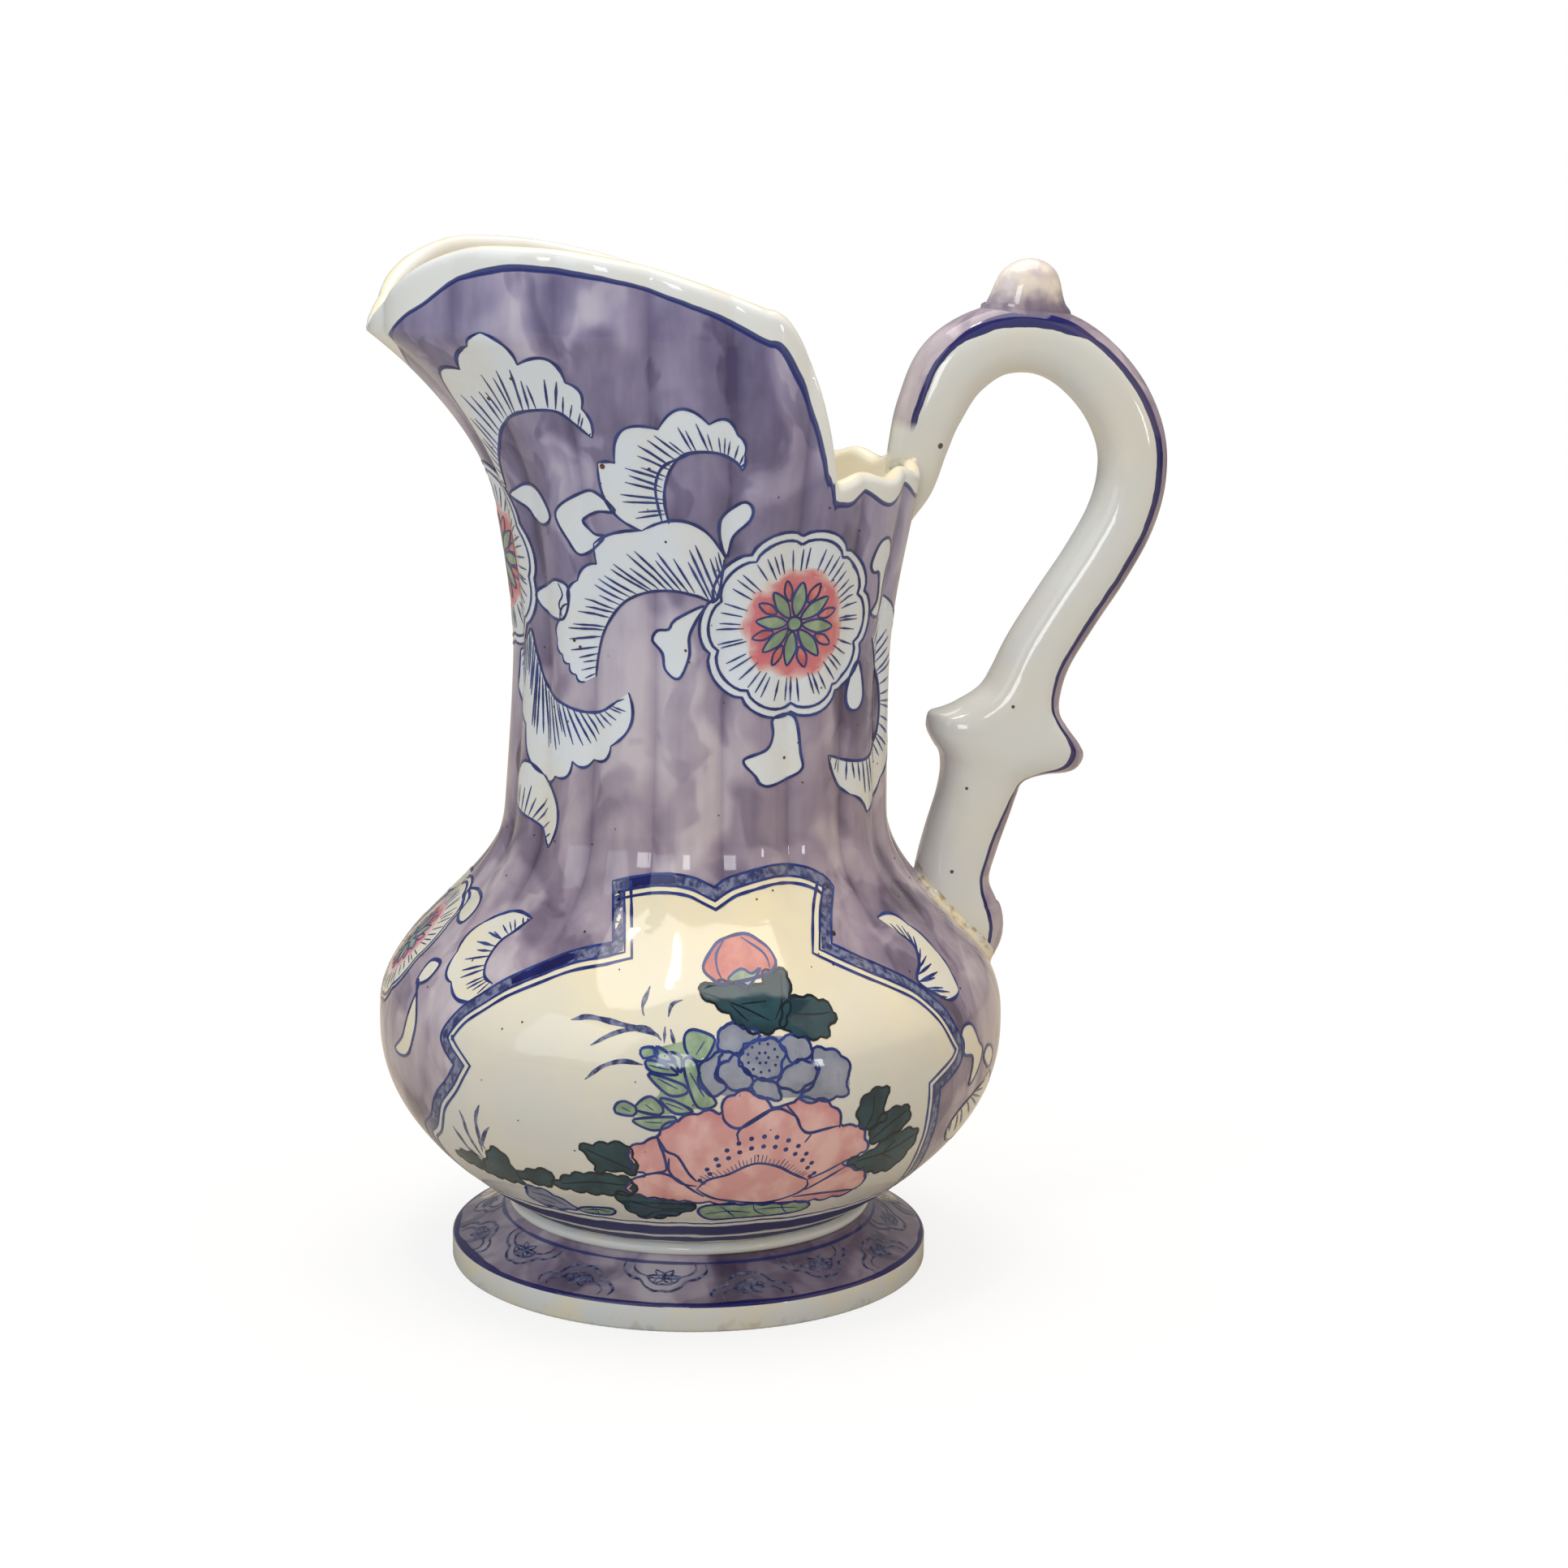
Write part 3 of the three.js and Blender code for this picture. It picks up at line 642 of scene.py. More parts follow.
def beside(place, right, rise):
    """A place so many millimetres to the right of another and above it."""
    height = place[1] + rise
    return (place[0] - right / degree(height), height)


def through(stations, at):
    """A smooth curve through evenly numbered stations, at a number between two of them."""
    low = min(int(at), len(stations) - 2)
    share = at - low
    here, there = stations[low], stations[low + 1]
    before = stations[low - 1] if low else 2 * here - there
    after = stations[low + 2] if low + 2 < len(stations) else 2 * there - here
    pull, next_pull = (there - before) / 2, (after - here) / 2
    bend = 3 * (there - here) - 2 * pull - next_pull
    return here + share * (pull + share * (bend + share * (pull + next_pull - 2 * (there - here))))


def brushed(path, skip=0):
    """A smooth path through a few places, stepped finely, without the first and last few stretches."""
    stations = [Vector(place) for place in path]
    fine = []
    for low in range(skip, len(path) - 1 - skip):
        steps = max(2, round(flat_gap(path[low], path[low + 1]).length / BRUSH_STEP))
        fine += [tuple(through(stations, low + step / steps)) for step in range(steps)]
    return fine + [tuple(path[-1 - skip])]


def ringed(path):
    """A smooth closed outline through a few places."""
    return brushed(path[-2:] + path + path[:3], 2)[:-1]


def frilled(path, bump, swell):
    """A smooth closed outline, drawn clockwise, with small outward bumps all round."""
    edge = ringed(path)
    run = 0
    frilly = []
    for before, here, after in zip(edge[-1:] + edge, edge, edge[1:] + edge[:1]):
        run += flat_gap(before, here).length
        way = flat_gap(before, after).normalized()
        out = swell * (abs(math.sin(math.pi * run / bump)) - 0.5)
        frilly.append(beside(here, -way.y * out, way.x * out))
    return frilly


def lobes(cusps):
    """The strokes of a lobed edge, clockwise: each (turn, height, swell) but the first ends one lobe."""
    strokes = []
    for here, (turn, height, swell) in zip(cusps, cusps[1:]):
        gap = flat_gap(here, (turn, height))
        steps = max(2, round(gap.length * (1 + abs(swell)) / BRUSH_STEP))
        stroke_path = []
        for step in range(steps + 1):
            share = step / steps
            bulge = 4 * swell * share * (1 - share)
            right = gap.x * share - gap.y * bulge
            rise = gap.y * share + gap.x * bulge
            stroke_path.append(beside(here[:2], right, rise))
        strokes.append(stroke_path)
    return strokes


def fill(flat, outline):
    """A patch of paint inside an outline."""
    height = 0.03 * rand.random()
    flat.faces.new([flat.verts.new((*place, height)) for place in outline])


def stroke(flat, path, width, ends=0.45):
    """A brush line along a path of fine steps, thinner at its ends and uneven as a hand draws it."""
    count = len(path) - 1
    strip = bmesh.ops.create_grid(flat, x_segments=count, y_segments=1, size=1)["verts"]
    height = 0.03 * rand.random()
    for vert in strip:
        at = round((vert.co.x + 1) / 2 * count)
        run = flat_gap(path[max(0, at - 1)], path[min(count, at + 1)])
        full = ends + (1 - ends) * min(1, min(at, count - at) / 3)
        uneven = 1 + 0.35 * noise.noise(Vector((*path[at], 0)) * 0.35)
        side = vert.co.y * width / 2 * full * uneven / max(run.length, 0.001)
        place = beside(path[at], -run.y * side, run.x * side)
        vert.co = (*place, height)


def dot(flat, place, size):
    """A round touch of the brush."""
    outline = [math.tau * step / 9 for step in range(9)]
    fill(flat, [beside(place, size / 2 * math.cos(turn), size / 2 * math.sin(turn)) for turn in outline])


def lay(flat, level, both_sides=True):
    """Scores flat paint finely, lays it on the vessel as a thin skin and repeats it on the far side."""
    flat.normal_update()
    wide = [face for face in flat.faces if len(face.verts) > 4]
    bmesh.ops.triangulate(flat, faces=wide, ngon_method="EAR_CLIP")
    if level != "line":
        for axis, step, first, last in ((0, SCORE_TURN, -10, 345), (1, SCORE_RISE, 25, 250)):
            for line_at in range(round(first / step), round(last / step)):
                place, normal = [0, 0, 0], [0, 0, 0]
                place[axis], normal[axis] = line_at * step, 1
                bmesh.ops.bisect_plane(
                    flat, geom=flat.verts[:] + flat.edges[:] + flat.faces[:], dist=0.0001, plane_co=place,
                    plane_no=normal,
                )
    within = flat.verts.layers.float.new("within")
    ring = {vert for vert in flat.verts if vert.is_boundary}
    for vert in flat.verts:
        vert[within] = 0 if vert in ring else 1
    reached = set(ring)
    for step in range(1, FADE_RINGS):
        ring = {edge.other_vert(vert) for vert in ring for edge in vert.link_edges} - reached
        reached |= ring
        for vert in ring:
            vert[within] = step / FADE_RINGS
    top = bmesh.ops.extrude_face_region(flat, geom=flat.faces[:], use_keep_orig=True)["geom"]
    for vert in top:
        if isinstance(vert, bmesh.types.BMVert):
            vert.co.z += 1
    for vert in flat.verts:
        vert.co = on_jug(vert.co.x, vert.co.y, COAT_LIFTS[level] + COAT * vert.co.z)
    if both_sides:
        whole = flat.verts[:] + flat.edges[:] + flat.faces[:]
        bmesh.ops.mirror(flat, geom=whole, matrix=Matrix.Identity(4), merge_dist=0, axis="Y")
    return flat


class Drawing:
    """One coat for each paint, which all the motifs drawn here share."""

    def __init__(self):
        self.coats = {colour: bmesh.new() for colour in PAINTS}

    def patch(self, colour, edge, width, line="blue"):
        """A filled outline with a closed line round it."""
        fill(self.coats[colour], edge)
        stroke(self.coats[line], edge + edge[:1], width, 1)

    def motif(self, colour, outline, line=LINE, bump=1, swell=0):
        """A filled outline, drawn as one closed curve through its places, frilled if it has a swell."""
        self.patch(colour, frilled(outline, bump, swell), line, "ink" if colour == "dark_green" else "blue")

    def lines(self, width, *paths, colour="blue"):
        for path in paths:
            stroke(self.coats[colour], brushed(path), width)

    def leaf(self, cusps, rib, ticks):
        """A white leaf: a lobed edge, a smooth rib from its end back to its start, and fine ticks between."""
        edge = lobes(cusps)
        inner = brushed([cusps[-1][:2], *rib])
        outer = [place for part in edge for place in part[:-1]] + edge[-1][-1:]
        fill(self.coats["white"], [*outer, *inner[1:]])
        for part in edge:
            stroke(self.coats["blue"], part, LINE)
        stroke(self.coats["blue"], inner, LINE)
        for tick in range(ticks):
            share = (tick + 0.5 + 0.3 * rand.uniform(-1, 1)) / ticks
            start = inner[round(share * (len(inner) - 1))]
            end = outer[round((1 - share) * (len(outer) - 1))]
            gap = flat_gap(start, end)
            low, high = 0.05 * rand.random(), 0.45 + 0.25 * rand.random()
            path = [beside(start, gap.x * part, gap.y * part) for part in (low, (low + high) / 2, high)]
            stroke(self.coats["blue"], brushed(path), FINE_LINE, 0.3)

    def blossom(self, middle, size, tilt=0):
        """A round white blossom: two scalloped outlines, fine rays, a pink heart, red and green petals."""
        def polar(turn, reach):
            return beside(middle, size * reach * math.sin(turn), size * reach * math.cos(turn))

        def scallop(reach):
            turns = [math.tau * step / 90 for step in range(90)]
            waves = [1 - abs(math.sin(5 * turn + tilt)) ** 0.6 for turn in turns]
            return [polar(turn, reach - 0.075 * wave) for turn, wave in zip(turns, waves)]

        def petal(turn, low, high, spread):
            across = [(low, 0), (0.5 * (low + high), -spread), (high, 0), (0.5 * (low + high), spread)]
            return [polar(turn + aside / reach, reach) for reach, aside in across]

        blue = self.coats["blue"]
        thin = FINE_LINE * min(1, size / 24)
        self.patch("white", scallop(1), LINE)
        inside = scallop(0.91)
        stroke(blue, inside + inside[:1], LINE, 1)
        heart = [polar(math.tau * step / 40, 0.58 + 0.05 * rand.uniform(-1, 1)) for step in range(40)]
        fill(self.coats["pink"], heart)
        for ray in range(46):
            turn = math.tau * (ray + 0.4 * rand.uniform(-1, 1)) / 46
            reaches = (0.54 + 0.06 * rand.random(), 0.68, 0.78 + 0.05 * rand.random())
            stroke(blue, brushed([polar(turn, reach) for reach in reaches]), thin, 0.35)
        for colour, ahead, low, high, spread in (("red", math.tau / 16, 0.25, 0.48, 0.05),
                                                 ("green", 0, 0.08, 0.44, 0.07)):
            for point in range(8):
                turn = math.tau * (point + 0.15) / 8
                self.patch(colour, ringed(petal(turn + ahead, low, high, spread)), thin)
        self.patch("green", [polar(math.tau * step / 12, 0.075) for step in range(12)], thin)


sides = Drawing()
front = Drawing()

# Leaves of the neck and the belly: the lobed edge, then the rib.
sides.leaf(
    [(168, 205), (166, 219, 0.1), (162, 230.5, 0.06), (153.5, 234, 0.2), (147.5, 240, 0.15),
     (143.5, 243.5, 0.1), (138.2, 236, 0.2), (129.5, 232, 0.42), (126.3, 226, 0.3), (124.5, 219, 0.16)],
    [(129.5, 222.5), (133, 225), (138.5, 225), (145, 223.5), (151, 220.5), (156, 215), (160, 210),
     (162, 204)], 24)
sides.leaf(
    [(133.5, 158.5), (136.5, 160, 0.3), (139, 162.5, 0.3), (142, 164.5, 0.3), (144.5, 168, 0.3),
     (142.5, 173, 0.25), (138.5, 177.5, 0.2), (134.5, 183.5, 0.2), (127.5, 188, 0.2), (128, 193, 0.05),
     (113, 197, 0.08), (90.5, 190.5, 0.28)],
    [(92.5, 180.5), (98, 181.5), (104, 182.5), (111.5, 182), (117.5, 180), (122, 176.5), (126.5, 171),
     (129, 165), (130, 160)], 30)
sides.leaf(
    [(113, 197), (124, 213, 0.2), (119, 213.2, 0.08), (108, 221.5, 0.36), (95.5, 223, 0.36),
     (88.5, 220.5, 0.35), (86.6, 216, 0.2), (87, 212, 0.1)],
    [(88.5, 214), (92.5, 216), (97.5, 216.5), (102, 215.5), (105, 212), (106.5, 207.5), (106.5, 203),
     (105.5, 199)],
    24)
sides.lines(LINE, [(100, 216), (106.5, 213), (108.8, 209), (108.8, 205), (107.3, 199)])
sides.leaf(
    [(118, 157), (123.5, 143.5, 0.22), (130, 139.5, 0.3), (137, 138.5, 0.3), (144, 134, 0.3),
     (151, 133.5, 0.3), (161, 145, 0.2), (173, 153, 0.1), (172, 162.5, 0)],
    [(167, 164), (162, 166.8), (158.5, 169), (155.5, 163), (150, 155), (140, 152), (132, 151), (126.5, 152),
     (121, 155)], 32)
sides.leaf(
    [(168, 131), (151, 133.5, 0.25), (145, 116, 0.28)],
    [(150, 120), (154, 121.5), (160, 122.5), (168, 124)], 10)
sides.leaf(
    [(30, 178), (13, 152, 0.2), (26, 131, 0.16), (38, 124, 0.12), (46, 129.5, -0.1), (56, 140.5, 0.12)],
    [(45.5, 138), (36.5, 138), (29, 142), (27, 150), (29.5, 158.5), (37, 168)], 26)
sides.leaf(
    [(143, 82), (151, 84.3, 0.15), (155.3, 90, 0.25), (154.5, 97, 0.25), (140, 100.5, 0.14)],
    [(142.5, 97.5), (145, 94.5), (145, 90.5), (143, 87.5), (140, 86.5)], 16)
sides.leaf(
    [(48, 100), (39.5, 96.8, 0.2), (36.8, 90.5, 0.12), (37, 85.5, 0.1), (38, 81.5, 0.05),
     (43.5, 80.8, 0.1)],
    [(48.5, 86), (45, 89.5), (43, 93), (45, 96.5)], 14)

# Blossoms: one on each side of the neck, one under the lip and a smaller one on the belly below it.
sides.blossom((69, 174), 23.5)
front.blossom((180, 186), 23.5, 0.6)
front.blossom((180, 87), 16, 0.9)

# Buds, curls and beans of the scrollwork, left white.
for outline in (
    [(146.5, 182), (143, 183), (138.5, 182), (138, 178.5), (141, 173.5), (148, 173.5), (153, 176),
     (154, 179)],
    [(120, 201.5), (125, 205.5), (130, 205.5), (139.5, 200), (136, 193), (133, 190), (128.5, 191.5),
     (124, 195), (127.5, 195.5), (131, 198.5), (125.5, 201)],
    [(156, 204.5), (151, 206), (145.5, 204.5), (142, 199), (145, 196.5), (150, 197), (153, 200),
     (160, 202.5)],
    [(90, 191), (92, 195.5), (92, 200), (89, 203), (86, 204.5), (84, 203), (84.5, 200), (88.5, 196)],
    [(75, 151), (75, 147), (77, 143.5), (84, 141), (80.5, 137), (79, 135), (75, 134.5), (66, 137.5),
     (66, 142), (68, 151)],
    [(96, 179), (104, 175.5), (106, 173), (109.5, 172.5), (111, 170), (108, 167), (107, 163), (103, 161),
     (100, 166.5), (100, 171.5), (98, 175.5)],
    [(44, 163), (47, 159), (48, 154), (46.5, 151), (43, 151), (41, 154), (42, 159.5)],
    [(41, 192.5), (43.5, 187.5), (42, 185), (39, 184.5), (37, 178), (40, 174.5), (34, 174), (34, 185),
     (31.5, 189), (36, 193)],
    [(167, 96), (174, 100), (172, 101.5), (164, 101.5), (161, 99), (162, 95.5)],
    [(162, 82), (160, 79.5), (161, 69), (165, 64), (162, 63), (158.5, 65), (156.5, 72), (158, 77)],
    [(162, 81.5), (158.5, 83), (158, 87), (162, 86.5)],
    [(42, 71), (40.5, 73.5), (37.5, 73), (35, 68), (33, 65), (35, 60), (38, 57.5), (37.5, 64.5),
     (41, 66.5)],
    [(32, 62.5), (30.5, 65), (27.5, 64), (26, 61), (28, 58.5)],
):
    sides.motif("white", outline)
sides.leaf(
    [(26, 57), (22, 47, 0.15), (32, 40, 0.2), (41, 46, 0.1)],
    [(40, 50), (36, 53), (31, 55)], 9)

sides.lines(FINE_LINE, [(142, 182.3), (140.5, 179.5), (142.5, 177), (141.5, 174)])

# The flower panel: its edge, clockwise in strokes from corner to corner, then the bands inside it.
PANEL_FOOT = 28.6
PANEL_LOW = 29
PANEL_BAND = 1.4
NAVY_BAND_WIDTH = 2.2
panel_strokes = [
    [(120.5, 111), (114, 112.5), (105, 113.5), (98, 112.8), (92.5, 110.5)],
    [(92.5, 110.5), (87, 113), (76, 115), (66, 114), (60, 111.2), (58, 108.5)],
    [(58, 108.5), (62, 103), (65.5, 97)],
    [(65.5, 97), (60, 93.5), (54.5, 90), (49.5, 86), (45.5, 80), (43, 74), (41, 69), (43, 64), (48.5, 60)],
    [(48.5, 60), (48, 55), (47, 50), (45.5, 44), (42, 37), (37, 31), (35, PANEL_FOOT)],
    [(turn, PANEL_FOOT) for turn in (35, 60, 80, 100, 120, 140, 163)],
    [(163, PANEL_FOOT), (163.5, 36), (160, 45), (154, 50), (150, 57), (146, 62.5), (144, 66.5)],
    [(144, 66.5), (147, 70), (148, 73.5), (145, 80), (141, 84.5), (137, 88.5), (131, 92.5), (124.5, 96),
     (116.5, 98.3)],
    [(116.5, 98.3), (118.5, 104.5), (120.5, 111)],
]
panel = [place for path in panel_strokes for place in brushed(path)[:-1]]


def inset(outline, distance):
    """A closed clockwise outline drawn in by a distance, with its corners kept."""
    drawn = []
    for at, place in enumerate(outline):
        before = flat_gap(outline[at - 1], place).normalized()
        after = flat_gap(place, outline[(at + 1) % len(outline)]).normalized()
        lean = (before + after).normalized()
        reach = distance / max(0.45, lean.dot(before))
        drawn.append(beside(place, lean.y * reach, -lean.x * reach))
    return drawn


fill(sides.coats["cream"], panel)
start = next(at for at, place in enumerate(panel) if place[1] < PANEL_LOW)
finish = len(panel) - next(at for at, place in enumerate(panel[::-1]) if place[1] < PANEL_LOW)
for colour, depth, width in (
    ("border", PANEL_BAND, 2.7), ("blue", 0.1, FINE_LINE), ("blue", 2.8, FINE_LINE), ("blue", 4.4, LINE),
):
    band = inset(panel, depth)
    stroke(sides.coats[colour], band[finish:] + band[: start + 1], width, 1)
for first, last in ((2, 19), (-42, -24)):
    band = inset(panel, PANEL_BAND)
    stroke(sides.coats["navy"], [band[at] for at in range(first, last)], NAVY_BAND_WIDTH, 0.6)

# The bouquet, from its bud down: petals, leaves and grass.
bud = [(96, 94), (93.5, 98), (91, 99.5), (86, 100.5), (83, 99), (81, 97), (80.5, 94), (84, 92), (92, 90.5),
       (94, 91.5)]
sides.motif("salmon", bud)
sides.lines(
    FINE_LINE, [(91, 99.3), (93, 96.5), (93, 93.5), (92, 91)], [(87, 99.8), (83, 97), (82, 95), (82, 93.5)])
for outline in (
    [(97, 89.5), (92, 91), (85, 90), (83.5, 92.5), (80, 93), (78.5, 91.5), (79.5, 87), (81, 82.5),
     (84.5, 80.5), (88, 81), (92, 85)],
    [(79.5, 87), (73.5, 86.5), (71, 83), (73, 80.5), (74, 78.5), (78.5, 79), (82, 82)],
    [(68, 57.5), (68, 61), (66, 64), (62.5, 64.5), (62, 62), (63, 59.5), (62, 56), (66, 54)],
    [(65, 52.5), (62.5, 57.5), (58, 58.5), (56, 56), (57, 52.5), (60.5, 50.5), (63, 49.5)],
    [(68, 45.5), (64, 47), (60.5, 50), (56.5, 51.5), (53, 50.5), (52, 46.5), (54, 40), (58, 39.5),
     (62, 41)],
    [(118, 51.5), (115.5, 52.5), (112, 53.5), (109, 52.5), (108, 45), (112, 45.5), (115.5, 44.5),
     (116, 47.5)],
    [(126, 38), (123.5, 41), (119, 43.5), (110, 43.5), (109, 38.5), (113.5, 37.5), (118.5, 37)],
    [(113, 38), (107.5, 37.5), (97, 35), (100, 32), (104, 30), (108, 29.5), (111, 31.5)],
    [(145, 37), (141, 42), (139, 45), (137, 46.5), (135, 45), (134.5, 39), (135, 36)],
    [(134.5, 39), (131, 41.5), (126, 43), (125.5, 41), (126.5, 38.5), (129, 37)],
    [(152, 39), (148, 42), (143.5, 41.5), (145, 37.5)],
):
    sides.motif("dark_green", outline, FINE_LINE, 4.2, 0.9)
sides.lines(
    VEIN_LINE, [(96, 89), (89, 86), (84, 83)], [(91, 86.5), (88, 83)], [(89, 86.5), (84, 87)],
    [(80, 92), (81, 87), (83, 83)], [(79, 84), (75, 83.5), (72, 83.5)], [(65, 63), (65, 58), (66, 55)],
    [(57, 57), (61, 54), (64, 51)], [(53, 49), (59, 46), (66, 45)], [(58, 49), (60, 46)],
    [(56, 43), (60, 45.5)], [(117, 51), (112, 48), (109, 46)], [(124, 39), (117, 41), (110, 41)],
    [(111, 36), (105, 33.5), (99, 33.5)], colour="ink")
fill(sides.coats["slate"], ringed(
    [(97, 71), (95, 77), (92, 82), (86, 80), (80, 79), (77, 76), (72, 74), (70.5, 70), (71, 65), (79, 65),
     (86, 65.5), (94.5, 67)]))
sides.motif("green", [(91, 91.5), (88, 93.5), (86, 92.5), (84, 93.5), (87, 90), (89, 90.5)], FINE_LINE)
for outline in (
    [(93.5, 79), (93, 81.5), (91, 82.5), (86, 80), (89, 78), (90, 76), (93.5, 77.5)],
    [(82, 79), (80, 79.5), (78, 78.5), (77, 75.5), (80.5, 73.5), (82.5, 77.5)],
    [(77, 75.5), (74.5, 76), (71.5, 74), (70, 70.5), (71, 67.5), (70.5, 64.5), (76, 63.5), (79.5, 64.5),
     (76.5, 69)],
    [(80.5, 73.5), (77, 73), (76, 70.5), (78, 68), (80, 66.5), (83.5, 69)],
    [(87.5, 69.5), (85.5, 70), (83.5, 68), (83, 65), (86, 65.5), (88, 67.5)],
    [(94, 72.5), (90.5, 76), (90, 73.5), (88, 71), (88, 69), (90, 67.5), (93, 69.5)],
    [(97, 72.5), (95.5, 75), (93, 76.5), (94, 72.5), (92.5, 68), (94.5, 66.5), (96.5, 68.5)],
    [(90, 74.5), (89, 77.5), (86, 79), (84, 79), (82, 77), (82.5, 74), (83.5, 70.5), (85.5, 70), (88, 71)],
    [(134.5, 35), (130, 35.5), (125.5, 32), (124.5, 30), (129.5, 28.8), (136, 30)],
):
    sides.motif("slate", outline, LINE, 4.6, 0.7)
for reach, count in ((1.3, 6), (3.3, 11)):
    for step in range(count):
        turn = math.tau * step / count
        dot(sides.coats["blue"], beside((86, 75), 1.1 * reach * math.cos(turn), reach * math.sin(turn)), 0.7)
fill(sides.coats["green"], ringed(
    [(106, 76.5), (99.5, 79), (95.5, 80), (96.5, 72), (95, 65), (98, 63), (103, 61.5), (107, 61),
     (110, 62.5), (106, 64), (103.5, 67), (104.5, 71), (105, 74)]))
for outline in (
    [(99.5, 80), (98, 81.5), (94.5, 80), (94.5, 78), (96.5, 74.5), (99, 76.5)],
    [(107, 77), (105, 77.5), (104, 76), (106.5, 75)],
    [(104.5, 77.5), (103, 77), (101, 74.5), (104, 75)],
    [(106, 74.5), (103, 74), (100.5, 71.5), (105, 72)],
    [(105.5, 71.5), (99.5, 69), (99, 67), (102, 66.5)],
    [(99.5, 75), (97.5, 74.5), (96.5, 69.5), (94, 64.5), (97, 63.5), (99, 70)],
    [(102, 76.5), (100, 75.5), (100, 72), (101, 74)],
    [(107, 64.5), (105, 66), (103, 63.5), (103.5, 61.5), (107.5, 62.5)],
    [(103.5, 65.5), (101, 65), (98, 62.5), (101, 62)],
    [(111, 63.5), (109.5, 64.5), (107.5, 63), (108, 61), (111, 61.5)],
    [(108, 60), (101, 61), (102, 58.5), (105, 57.5)],
    [(96.5, 33), (93.5, 35), (83, 34.5), (73, 33.5), (72.5, 30), (86.5, 29.5), (94, 29.5)],
    [(124, 30), (121, 31.5), (115, 32), (116, 29.5), (122, 29)],
):
    sides.motif("green", outline)
sides.lines(
    LEAF_VEIN_LINE, [(96, 79), (97.5, 76)], [(105.5, 73.5), (102, 72.5)], [(104, 70.5), (100.5, 68)],
    [(98.5, 72), (96, 66)], [(106, 64), (104.5, 62.5)], [(102.5, 64.5), (99.5, 63)],
    [(110, 63), (108.5, 62)], [(106, 59.5), (103, 59.5)], [(95, 31.5), (90, 32.5), (85, 31.5)],
    [(92, 34.5), (89, 31), (88, 29.7)], [(85, 34.3), (84, 32), (81, 29.8)],
    [(84, 32.5), (79, 32.5), (74, 31.5)], [(79, 34), (77.5, 31.5), (76, 30)],
    [(122.5, 30), (119, 31), (116, 30.8)], [(120, 31.3), (119, 30), (119.5, 29.3)],
    [(134, 33.5), (130, 33), (126.5, 30.5)], [(133, 31.5), (129.5, 30.5)])
for blade in (
    [(120.5, 82), (117, 83), (111, 82), (105, 80.5), (103.5, 79)],
    [(116, 77), (112, 80), (107, 81.5), (104, 80)], [(116.5, 69), (113.5, 72.5), (110, 74), (106.5, 73.5)],
    [(107, 84), (107.5, 86), (106.5, 90)], [(102.5, 84), (102, 86.5), (100, 87.5)],
    [(103, 78.5), (103, 82)], [(101, 77.5), (102, 81.5)],
    [(143.5, 55), (143, 52.5), (143, 48.5), (142, 42)], [(138, 58), (139.5, 54), (140, 49.5), (141, 44)],
    [(136.5, 52.5), (138, 50.5), (140, 46.5), (139.5, 45)],
    [(147, 49.5), (146, 46.5), (145, 43.5), (142.5, 41.5)],
):
    stroke(sides.coats["border"], brushed(blade), GRASS_LINE, 0.2)
peony = [(109, 51), (107.5, 53.5), (104, 55.5), (103.5, 57.5), (101, 60), (96, 62.5), (93.5, 62),
         (93, 63.5), (91.5, 66.5), (88, 67), (84, 63), (82, 63), (80, 64.5), (76, 64), (73, 61.5),
         (71.5, 58), (71, 56), (67.5, 55.5), (65, 50), (65, 47.5), (68.5, 46), (68, 44), (62, 40.5),
         (61, 37.5), (62, 34.5), (68, 33.5), (83, 34.5), (95, 36), (105, 37), (109, 38.5), (110.5, 41),
         (106.5, 45), (108.5, 46.5)]
sides.motif("rose", peony, LINE, 5.5, 0.9)
sides.lines(
    LINE, [(104, 55.5), (103, 51.5), (102.5, 47.5), (103, 46), (106.5, 45)],
    [(104, 56), (102.5, 52), (100.5, 50.5), (98.5, 45.5), (97, 43)],
    [(102, 50), (102, 46), (100, 42.5), (97, 41.5)],
    [(108, 44), (104, 45.5), (101, 44), (98, 40.5), (95.5, 38)], [(75.5, 41.5), (72, 43.5), (68.5, 46)],
    [(75, 38), (71.5, 41), (68, 44)], [(77, 36), (71, 36), (62, 35)],
    [(93, 63.5), (92.5, 60), (90, 58), (86, 61), (84, 63)],
    [(82, 63.5), (80, 60), (79, 57), (77.5, 55.5), (74.5, 56), (71.5, 56.5)],
    [(90, 54.5), (90, 57.5), (86, 61.5), (83, 62.5), (80, 60)], [(77, 55), (78, 53)])
heart_top = [(97, 40.5), (95, 43.5), (91.5, 45), (88, 47.5), (85.5, 48), (82, 46.5), (79, 44), (75.5, 41.5)]
sides.lines(
    LINE, heart_top, [(97, 40.5), (94.5, 38), (91, 36.5), (83, 35), (77.5, 36.5), (75, 39), (75.5, 41.5)])
stamens = brushed(heart_top)
for at in range(4, len(stamens) - 3):
    away = flat_gap((86, 36), stamens[at]).normalized() * (1.6 + 1.2 * rand.random())
    stamen = brushed([stamens[at], beside(stamens[at], away.x, away.y)])
    stroke(sides.coats["blue"], stamen, STAMEN_LINE, 0.4)
for rise, spread, count in ((17.5, 15, 13), (14.8, 14, 13)):
    for step in range(count):
        turn = math.radians(72) * (2 * step / (count - 1) - 1)
        dot(sides.coats["blue"], beside((85.5, 38), spread * math.sin(turn), rise * math.cos(turn)), 1.25)

